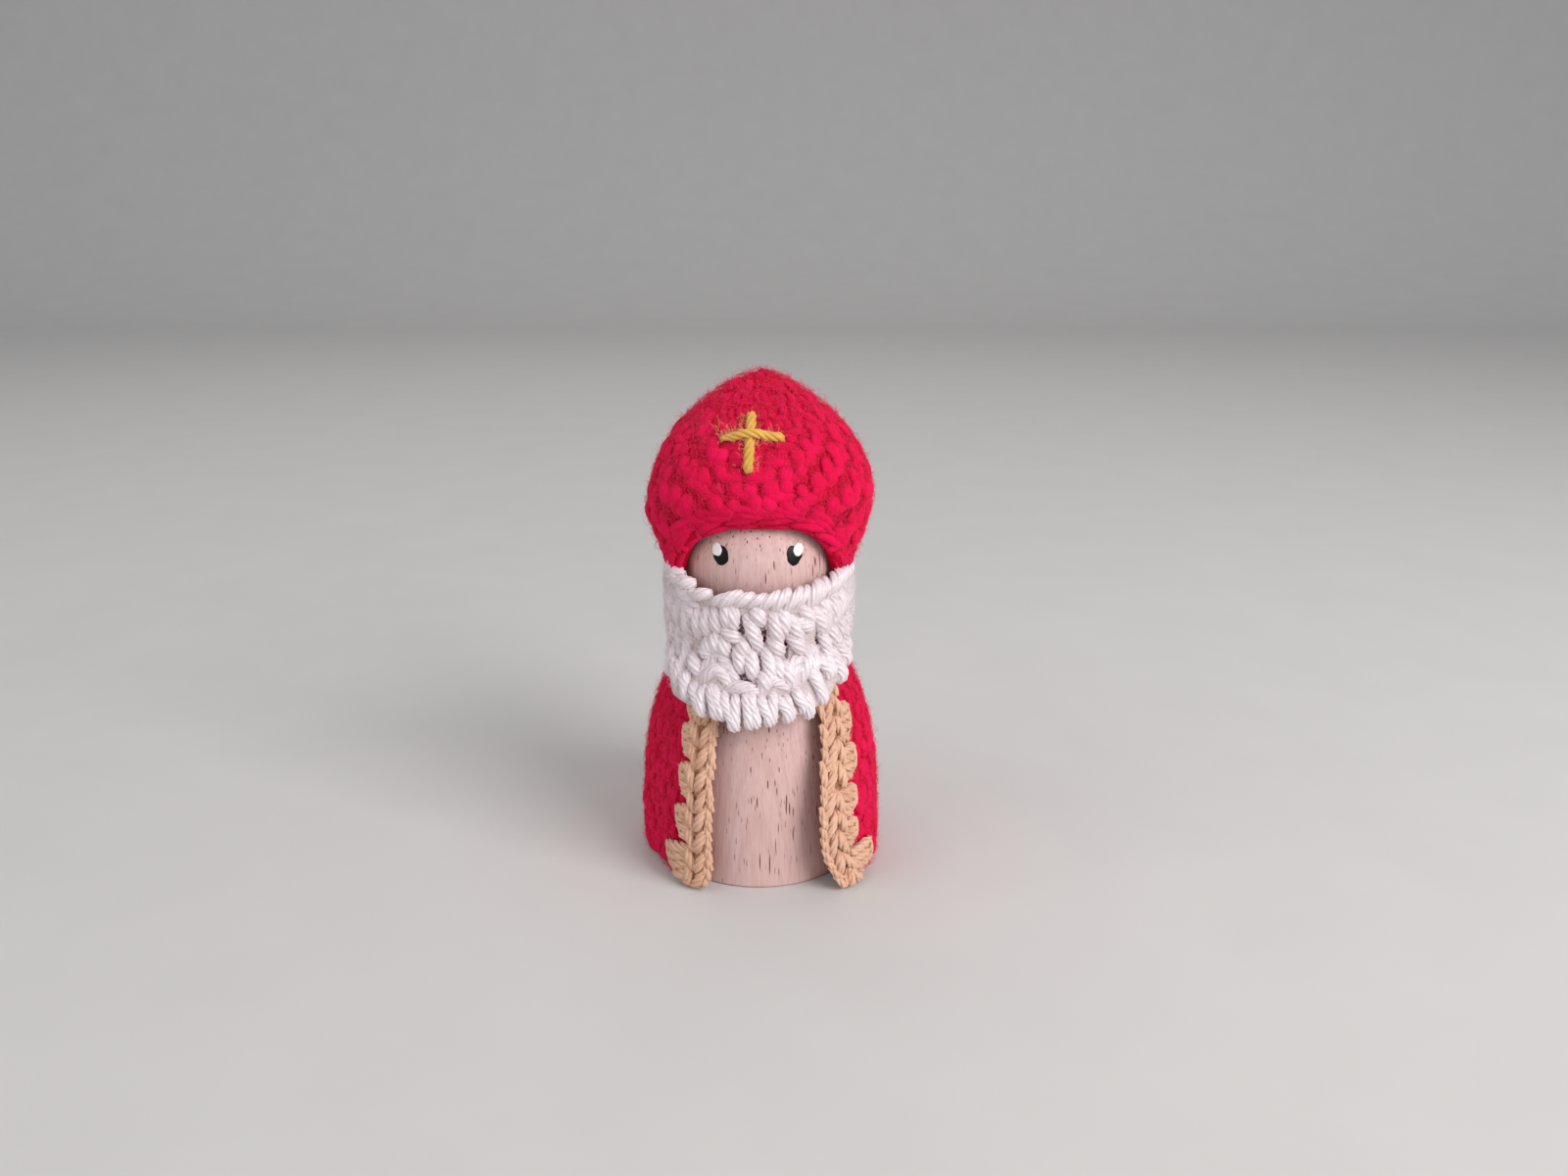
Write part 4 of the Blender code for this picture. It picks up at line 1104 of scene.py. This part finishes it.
def trim_strands(side, lead, middle, top, foot, fans, seed):
    """Yarn of one trim: V-shaped stitches down a column, a slanting strand along its inner edge, and teeth.

    A tooth is a fan of strands that leave the column side by side, with one more strand round its outline.
    """
    random = np.random.default_rng(seed)
    surface = trim_on(side)
    rings = 14
    strands = []

    def lay_strand(across, z, lift, radius):
        inner = across < middle + 2.0
        leaning = side * (across + inner * lean(z, foot))
        strands.append((*lifted(surface, leaning, np.maximum(z, TRIM_YARN_FLOOR), lift), radius))

    along = np.linspace(0, 1, rings)
    swell = np.sin(math.pi * along)
    for z in np.arange(1.9, top, V_PITCH):
        for leg in (-1, 1):
            sway = random.normal(0, 0.1)
            across = middle + leg * mix(1.85, 0.22, along ** 0.8) + sway
            height = z + lead * (mix(2.3, -2.0, along) + random.normal(0, 0.18))
            thick = 0.86 * (0.62 + 0.38 * swell) * random.normal(1, 0.07)
            lay_strand(across, height, -0.72 + 0.45 * swell ** 0.8 - 0.2 * along, thick)
        for step in (0.0, 0.5):
            slant = mix(0.45, -0.5, along) + random.normal(0, 0.15)
            height = z + lead * (V_PITCH * step + mix(1.7, -1.5, along)) + random.normal(0, 0.2)
            thick = 0.66 * (0.6 + 0.4 * swell) * random.normal(1, 0.08)
            lay_strand(middle - 2.1 + slant, height, -1.0 + 0.35 * swell, thick)
    for flat, far, out in fans:
        height = flat - far
        for index in range(FAN_STRANDS):
            share = (index + 0.5) / FAN_STRANDS * 0.86
            start = flat - height * (share * 0.92 + 0.02)
            end = flat - height * (share + 0.02) - np.sign(height) * 0.2 * index
            across = mix(middle + 0.7, tooth_reach(out, share, side) - 0.4, along)
            bow = mix(*FAN_SLOPE[side], along) + tooth_tilt(side, across) + random.normal(0, 0.08)
            full = 0.55 + 0.45 * np.sin(math.pi * np.clip(along, 0.2, 0.9))
            thick = abs(height) * mix(0.14, 0.165, along) * full
            lay_strand(across, mix(start, end, along) + bow, -0.95 + 0.35 * swell - 0.2 * along, thick)
        share = np.linspace(0, 1, 30)
        down = np.clip((share - OUTLINE_START) / (1 - OUTLINE_START), 0, 1)
        outline = tooth_reach(out, down, side) - 0.5
        going_out = mix(middle + 1.2, outline[8], share / OUTLINE_START)
        across = np.where(share < OUTLINE_START, going_out, outline)
        z = flat - np.sign(height) * (0.45 + 0 * share) - height * down * 0.97
        across, z = (np.interp(along, share, np.convolve(np.pad(line, 1, "edge"), np.full(3, 1 / 3), "valid"))
                     for line in (across, z))
        lay_strand(across, z + tooth_tilt(side, across), -1.1 + 0.1 * swell, 0.55 * (0.7 + 0.3 * swell))
    curl = np.linspace(0, math.pi, rings)
    lay_strand(middle + 0.4 - 1.9 * np.cos(curl), 2.6 - 1.7 * np.sin(curl), -0.75 + 0 * curl, 0.8 + 0 * curl)
    paths, outs, radii = (np.stack(group) for group in zip(*strands))
    return carry(paths, outs, radii, 24, plies=4, lay=7.0, depth=0.75, squeeze=0.8, seed=seed)


def add_trim(name, side, lead, middle, top, foot, fans, seed):
    """A trim: a thin matted strip behind, and its yarn in front."""

    def ground(u, v):
        z = mix(TRIM_STRIP_FLOOR, top, v)
        reach = trim_reach(fans, side, z) - 0.7
        across = mix(middle - 2.2 + lean(z, foot), reach, u if side > 0 else 1 - u)
        return side * across, np.maximum(z + tooth_tilt(side, across), TRIM_STRIP_FLOOR), -0.8 + 0 * u

    strip = put_sheet(name + "_ground", trim_on(side), 24, 120, ground, 0.5, gold_ground_painted_shade, "figure",
                      [name])
    random = np.random.default_rng(seed + 5)
    z = random.uniform(1.5, top - 0.5, TRIM_HAIRS)
    inner, outer = middle - 1.6 + lean(z, foot), trim_reach(fans, side, z) - 1.5
    across = mix(inner, outer, random.uniform(0, 1, TRIM_HAIRS))
    fuzz = hairs(trim_on(side), side * across, z, 0.9, 0.4, 0.024, seed + 6, -0.1)
    yarn = trim_strands(side, lead, middle, top, foot, fans, seed)
    return [strip, put_strands(name + "_yarn", [yarn, fuzz], gold_yarn, "figure")]


# Beard

def beard_path(strands, bow, low, high, thick, count=13):
    """Strands on the beard, each from one place to another as degrees, height, degrees, height.

    Half a sine wave bows each sideways, lifts its middle and swells it.
    """
    along = np.linspace(0, 1, count)[None, :]
    swell = np.sin(math.pi * along)
    first_angle, first_z, last_angle, last_z = np.asarray(strands, float).T[:4, :, None]
    across_z = (last_angle - first_angle) * MM_PER_DEGREE
    across_a = -(last_z - first_z) / MM_PER_DEGREE
    length = np.hypot(across_z, across_a * MM_PER_DEGREE)
    angle = mix(first_angle, last_angle, along) + bow * swell * across_a / length
    z = mix(first_z, last_z, along) + bow * swell * across_z / length
    lift = low + (high - low) * swell ** 0.7
    return (*lifted(beard, np.radians(angle), z, lift), thick * (0.6 + 0.4 * swell ** 0.6))


def beard_fingers(middle, top, bottom, slant, thick, front):
    """Hanging loops: each comes down the front, curls under in a half circle and goes up behind."""
    along = np.linspace(0, 1, 20)[None, :]
    middle, top, bottom, slant = (values[:, None] for values in (middle, top, bottom, slant))
    curl = 0.95
    down = np.clip(along / 0.68, 0, 1)
    turn = np.clip((along - 0.68) / 0.32, 0, 1) * math.radians(165)
    z = mix(top, bottom + thick + curl, down) - curl * np.sin(turn)
    lift = front - 1.0 * (1 - fade(along, 0.0, 0.22)) - curl + curl * np.cos(turn)
    angle = middle + slant * (down - 0.5) + 0.8 * np.sin(3 * down + middle)
    radii = thick * (0.72 + 0.28 * fade(along, 0.0, 0.3)) * (1 - 0.25 * fade(along, 0.85, 1.0))
    return (*lifted(beard, np.radians(angle), z, lift), radii)


# The front of the beard as it was crocheted, in degrees from the face and heights. Fingers hang: middle, top,
# bottom, slant. The other strands go from one place to another, and an arch has its bow after that. Gaps are
# ovals: middle, height, half width, half height
FINGERS = ((-52, 39.0, 34.6, 6), (-43, 37.6, 33.0, 6), (-31.5, 36.2, 31.6, 4), (-22.5, 37.0, 31.5, 6),
           (-13, 36.0, 30.1, 4), (-3.8, 36.2, 30.4, 3), (5.2, 35.8, 30.6, 2), (13.8, 36.0, 30.9, 3),
           (23, 36.6, 31.4, 3), (32.5, 38.6, 33.1, 4), (42, 40.4, 36.0, 4))
ARCHES = ((-37, 37.4, -11.5, 37.4, 3.4), (-33, 36.8, -15, 36.8, 2.2), (-17, 36.4, 1, 36.0, 0.6),
          (0, 35.8, 17, 36.4, 1.8), (15, 36.4, 37, 38.4, 3.0), (19, 36.4, 33, 37.6, 2.0))
SLANTS = ((-13, 42.6, -10.0, 39.2), (-5.5, 42.0, -2.4, 38.2), (2.2, 39.0, 4.4, 36.8), (4.6, 42.4, 8.4, 37.2),
          (9.2, 41.4, 13.6, 37.6), (24, 37.2, 36, 41.8), (31, 37.6, 38.4, 41.2), (-39, 41.4, -28, 40.2),
          (-45, 40.8, -36, 37.8), (-27.5, 44.6, -26.5, 40.8), (-22, 44.2, -20.6, 40.6), (-33, 43.4, -31, 40.4),
          (14.6, 40.8, 18.6, 37.0))
POSTS = ((-23, 45.4, -10.6, 43.4), (-20.0, 49.8, -19.0, 45.0), (-16.0, 49.8, -15.4, 45.0),
         (-7.4, 48.2, 1.2, 41.8), (-2.6, 49.2, 2.6, 46.2), (8.8, 48.6, 13.2, 42.0), (7.6, 44.0, 15.0, 41.0),
         (19.2, 44.6, 30, 40.4), (18.6, 47.8, 28, 42.4), (21, 46.6, 37.6, 44.6), (-10.6, 44.0, -7.8, 40.6),
         (27, 49.0, 36, 45.0), (36, 48.4, 46, 43.2), (-28, 48.6, -25.5, 44.2), (-34, 48.4, -33, 43.4),
         (-41, 48.2, -40, 42.6), (14.5, 48.8, 17, 44.2))
EAR_STRANDS = ((-40, 48.0, -53, 51.0), (-47, 48.4, -60, 51.6), (-39, 46.0, -51, 48.4), (-56, 50.4, -68, 52.8),
               (-66, 50.6, -78, 52.4), (-52, 46.6, -62, 49.0), (-58, 52.4, -80, 54.2))
WOOD_GAPS = ((-10.4, 45.9, 3.0, 2.0), (-13.6, 42.4, 1.4, 1.4), (-7, 38.4, 4.4, 0.9), (3, 44.4, 3.0, 1.6),
             (16.8, 42.5, 3.0, 2.8), (24, 44.2, 2.4, 1.2), (41, 42.8, 2.6, 1.4), (1, 40.0, 2.8, 1.4),
             (-25, 40.4, 2.6, 0.6), (-32, 43.4, 2.4, 1.0))
MM_PER_DEGREE = 0.27


def beard_sides(seed):
    """Strands round the sides of the beard, a little uneven, which carry the front's rows on."""
    random = np.random.default_rng(seed)
    rows = ((0.26, 0.60, 5.0, 8.5), (0.48, 0.90, -4.0, 8.0), (0.48, 0.88, 4.5, 10.0))
    strands = []
    for side, first in ((-1, 50.0), (1, 47.0)):
        for low, high, slant, pitch in rows:
            for turn in np.arange(first, 96.0, pitch):
                angle = side * (turn + random.normal(0, 0.8))
                hem, top = beard_hem(math.radians(angle)), beard_top(math.radians(angle))
                strands.append((angle - slant / 2, mix(hem, top, high) + random.normal(0, 0.3),
                                angle + slant / 2, mix(hem, top, low) + random.normal(0, 0.3)))
    return strands


def side_fingers():
    """Hanging loops along the climbing edge at both sides."""
    angle = np.concatenate([-np.arange(62.0, 97.0, 9.5), np.arange(51.0, 97.0, 9.5)])
    hem = beard_hem(np.radians(angle))
    top = beard_top(np.radians(angle))
    return angle, mix(hem, top, 0.42), hem + 0.2, np.full(len(angle), 5.0)


def chain_top(angle):
    """Height of the beard's upper edge by degrees, as crocheted: it climbs under the mitre at the ears."""
    seen = (-98, -62, -37, -24, 0, 27, 44, 58, 72, 98)
    height = (53.4, 54.4, 51.2, 51.9, 52.0, 52.8, 53.0, 53.8, 54.6, 54.0)
    return np.interp(angle, seen, height)


def top_chain():
    """Slanting strands of the chain along the beard's upper edge, each from low on one side to the edge."""
    spans = ((-94.0, -33.0, 6.2), (-25.0, 8.0, 8.2), (14.0, 96.0, 7.6))
    angle = np.concatenate([np.arange(*span) for span in spans])
    random = np.random.default_rng(70)
    uneven = random.normal(0, 0.3, (4, len(angle)))
    angle = angle + 3.0 * uneven[3]
    steep = fade(angle, 0.0, 20.0)
    left = fade(angle, -36.0, -44.0)
    reach = mix(6.4, 5.8, steep) - 1.0 * left + 2.0 * uneven[0]
    start, end = angle - reach, angle + reach
    low = chain_top(start) - mix(2.9, 4.4, steep) + uneven[1]
    high = chain_top(end) - 0.95 + 0.6 * uneven[2]
    return np.stack([start, low, end, high], axis=-1), (1.02 - 0.1 * left + 0.4 * uneven[2])[:, None]


def paired(fingers):
    """Each hanging loop as two strands side by side that come together below."""
    random = np.random.default_rng(69)
    pairs = np.repeat(np.array(fingers, float), 2, axis=0)
    step = np.tile([-1.0, 1.0], len(fingers))
    pairs[:, 0] += 1.8 * step + random.normal(0, 0.3, len(step))
    pairs[:, 1] += random.normal(0, 0.4, len(step))
    pairs[:, 2] += random.normal(0, 0.25, len(step))
    pairs[:, 3] -= 1.5 * step
    return pairs


def add_beard():
    """The beard: a thin sheet behind with holes where the wood shows, and thick glossy yarn laid over it."""

    def ground(u, v):
        angle = mix(-BEARD_HALF, BEARD_HALF, u)
        return angle, mix(beard_hem(angle) + 2.0, beard_top(angle) - 0.8, v), -0.95 + 0 * u

    def holes(angle, z):
        left_out = np.zeros(angle.shape, bool)
        for at, height, wide, tall in WOOD_GAPS:
            left_out |= ((np.degrees(angle) - at) / wide) ** 2 + ((z - height) / tall) ** 2 < 1
        return left_out

    sheet = put_sheet("beard_ground", beard, 260, 40, ground, 0.9, white_ground_painted_shade, "figure",
                      ["beard"], holes)
    bows = np.array(ARCHES)[:, 4:]
    chain, chain_thick = top_chain()
    laid = {"beard_front_yarn": [beard_fingers(*paired(FINGERS).T, 1.0, -0.45),
                                 beard_path(ARCHES, bows, -1.7, -0.9, 1.2, 20),
                                 beard_path(SLANTS, 0.15, -1.9, -0.6, 1.28),
                                 beard_path(POSTS, 0.2, -2.0, -0.7, 1.25)],
            "beard_edge_yarn": [beard_path(chain, 0.35, -1.8, -0.65, chain_thick),
                                beard_path(EAR_STRANDS, 0.2, -1.8, -0.7, 1.0)],
            "beard_side_yarn": [beard_path(beard_sides(71), 0.15, -2.0, -0.75, 1.2),
                                beard_fingers(*side_fingers(), 1.2, -0.8)]}
    pieces = []
    seed = 72
    for name, groups in laid.items():
        bundles = []
        for group in groups:
            bundles.append(carry(*group, 35, plies=7, lay=-9.0, squeeze=0.92, seed=seed))
            seed += 1
        pieces.append(put_strands(name, bundles, white_yarn, "figure"))
    random = np.random.default_rng(80)
    angle = random.uniform(-BEARD_HALF, BEARD_HALF, BEARD_HAIRS)
    z = mix(beard_hem(angle) + 3.0, beard_top(angle), random.uniform(0, 1, BEARD_HAIRS))
    fuzz = hairs(beard, angle, z, 1.5, 0.45, 0.026, 83, 0.05)
    pieces.append(put_strands("beard_fuzz", [fuzz], white_fibres, "figure"))
    return sheet, pieces


add_peg()
add_eyes()
add_mitre()
add_cross()
cape_sheet, on_cape = add_cape()
add_neck_chain()
on_cape += add_trim("trim_left", -1, 1, 1.5, 33.6, LEFT_FOOT, LEFT_FANS, 81)
on_cape += add_trim("trim_right", 1, -1, 1.2, 35.0, RIGHT_FOOT, RIGHT_FANS, 82)
beard_sheet, on_beard = add_beard()


# Floor, light and camera, in metres. Each light is its place, size, power and colour

FLOOR_REACH = 9.0
FLOOR_END = 0.9
BEND_RADIUS = 0.5
BACKDROP_TOP = 6.0
LIGHTS = {"key": ((0.50, -0.42, 0.44), 0.42, 4.7, (1.0, 0.98, 0.99)),
          "fill": ((-0.62, -0.30, 0.36), 0.6, 0.95, (1.0, 0.96, 0.95)),
          "top": ((-0.1, 0.35, 0.75), 0.7, 1.3, (1.0, 1.0, 1.0))}
LIGHT_TARGET = (0.0, 0.0, 0.045)
SURROUNDING = (0.93, 0.95, 1.0, 1.0)
SURROUNDING_STRENGTH = 0.5
CAMERA_PLACE = (0.0042, -0.1979, 0.1105)
CAMERA_TILT = math.radians(72.4)
FOCAL_LENGTH = 28.125
SENSOR_WIDTH = 36.0


def add_stage():
    """A pale floor that curves up behind the figure into a backdrop."""
    turn = np.linspace(0, math.pi / 2, 24)[1:]
    bend = np.stack([FLOOR_END + BEND_RADIUS * np.sin(turn), BEND_RADIUS * (1 - np.cos(turn))], axis=-1)
    flat = [(-FLOOR_REACH, 0.0), (FLOOR_END, 0.0)]
    profile = [*flat, *bend.tolist(), (FLOOR_END + BEND_RADIUS, BACKDROP_TOP)]
    points = [(x, y, z) for y, z in profile for x in (-FLOOR_REACH, 0.0, FLOOR_REACH)]
    quads = cell_corners(np.arange(len(points)).reshape(1, len(profile), 3)).reshape(-1, 4)
    mesh = bpy.data.meshes.new("floor")
    mesh.from_pydata(points, [], quads.tolist())
    mesh.shade_smooth()
    material, tree, shader = new_material("pale_floor", Roughness=0.8, Specular_IOR_Level=0.2)
    mottle = noise(tree, pattern_space(tree, (1.0, 1.0, 1.0)), 40.0, 2.0)
    feed(tree, shader.inputs["Base Color"], colours(tree, mottle, srgb(203, 201, 198), srgb(209, 207, 204)))
    mesh.materials.append(material)
    floor = bpy.data.objects.new("floor", mesh)
    bpy.context.scene.collection.objects.link(floor)


def add_lights():
    """Square soft lights, a strong one from the right and front and weaker ones, and an even surrounding."""
    for name, (place, size, power, colour) in LIGHTS.items():
        lamp = bpy.data.lights.new(name, "AREA")
        lamp.size = size
        lamp.energy = power
        lamp.color = colour
        light = bpy.data.objects.new(name, lamp)
        light.location = place
        ray = np.subtract(LIGHT_TARGET, place)
        light.rotation_euler = (math.acos(-ray[2] / np.linalg.norm(ray)), 0.0, math.atan2(-ray[0], ray[1]))
        bpy.context.scene.collection.objects.link(light)
    world = bpy.data.worlds.new("studio")
    world.use_nodes = True
    background = world.node_tree.nodes["Background"]
    background.inputs["Color"].default_value = SURROUNDING
    background.inputs["Strength"].default_value = SURROUNDING_STRENGTH
    bpy.context.scene.world = world


def add_camera():
    """The photograph's view: from a little above the figure's head, looking down at it."""
    lens = bpy.data.cameras.new("photo_view")
    lens.lens = FOCAL_LENGTH
    lens.sensor_width = SENSOR_WIDTH
    lens.clip_start = 0.01
    camera = bpy.data.objects.new("photo_view", lens)
    camera.location = CAMERA_PLACE
    camera.rotation_euler = (CAMERA_TILT, 0.0, 0.0)
    bpy.context.scene.collection.objects.link(camera)
    bpy.context.scene.camera = camera


add_stage()
add_lights()
add_camera()
bpy.context.scene.view_settings.view_transform = "Standard"
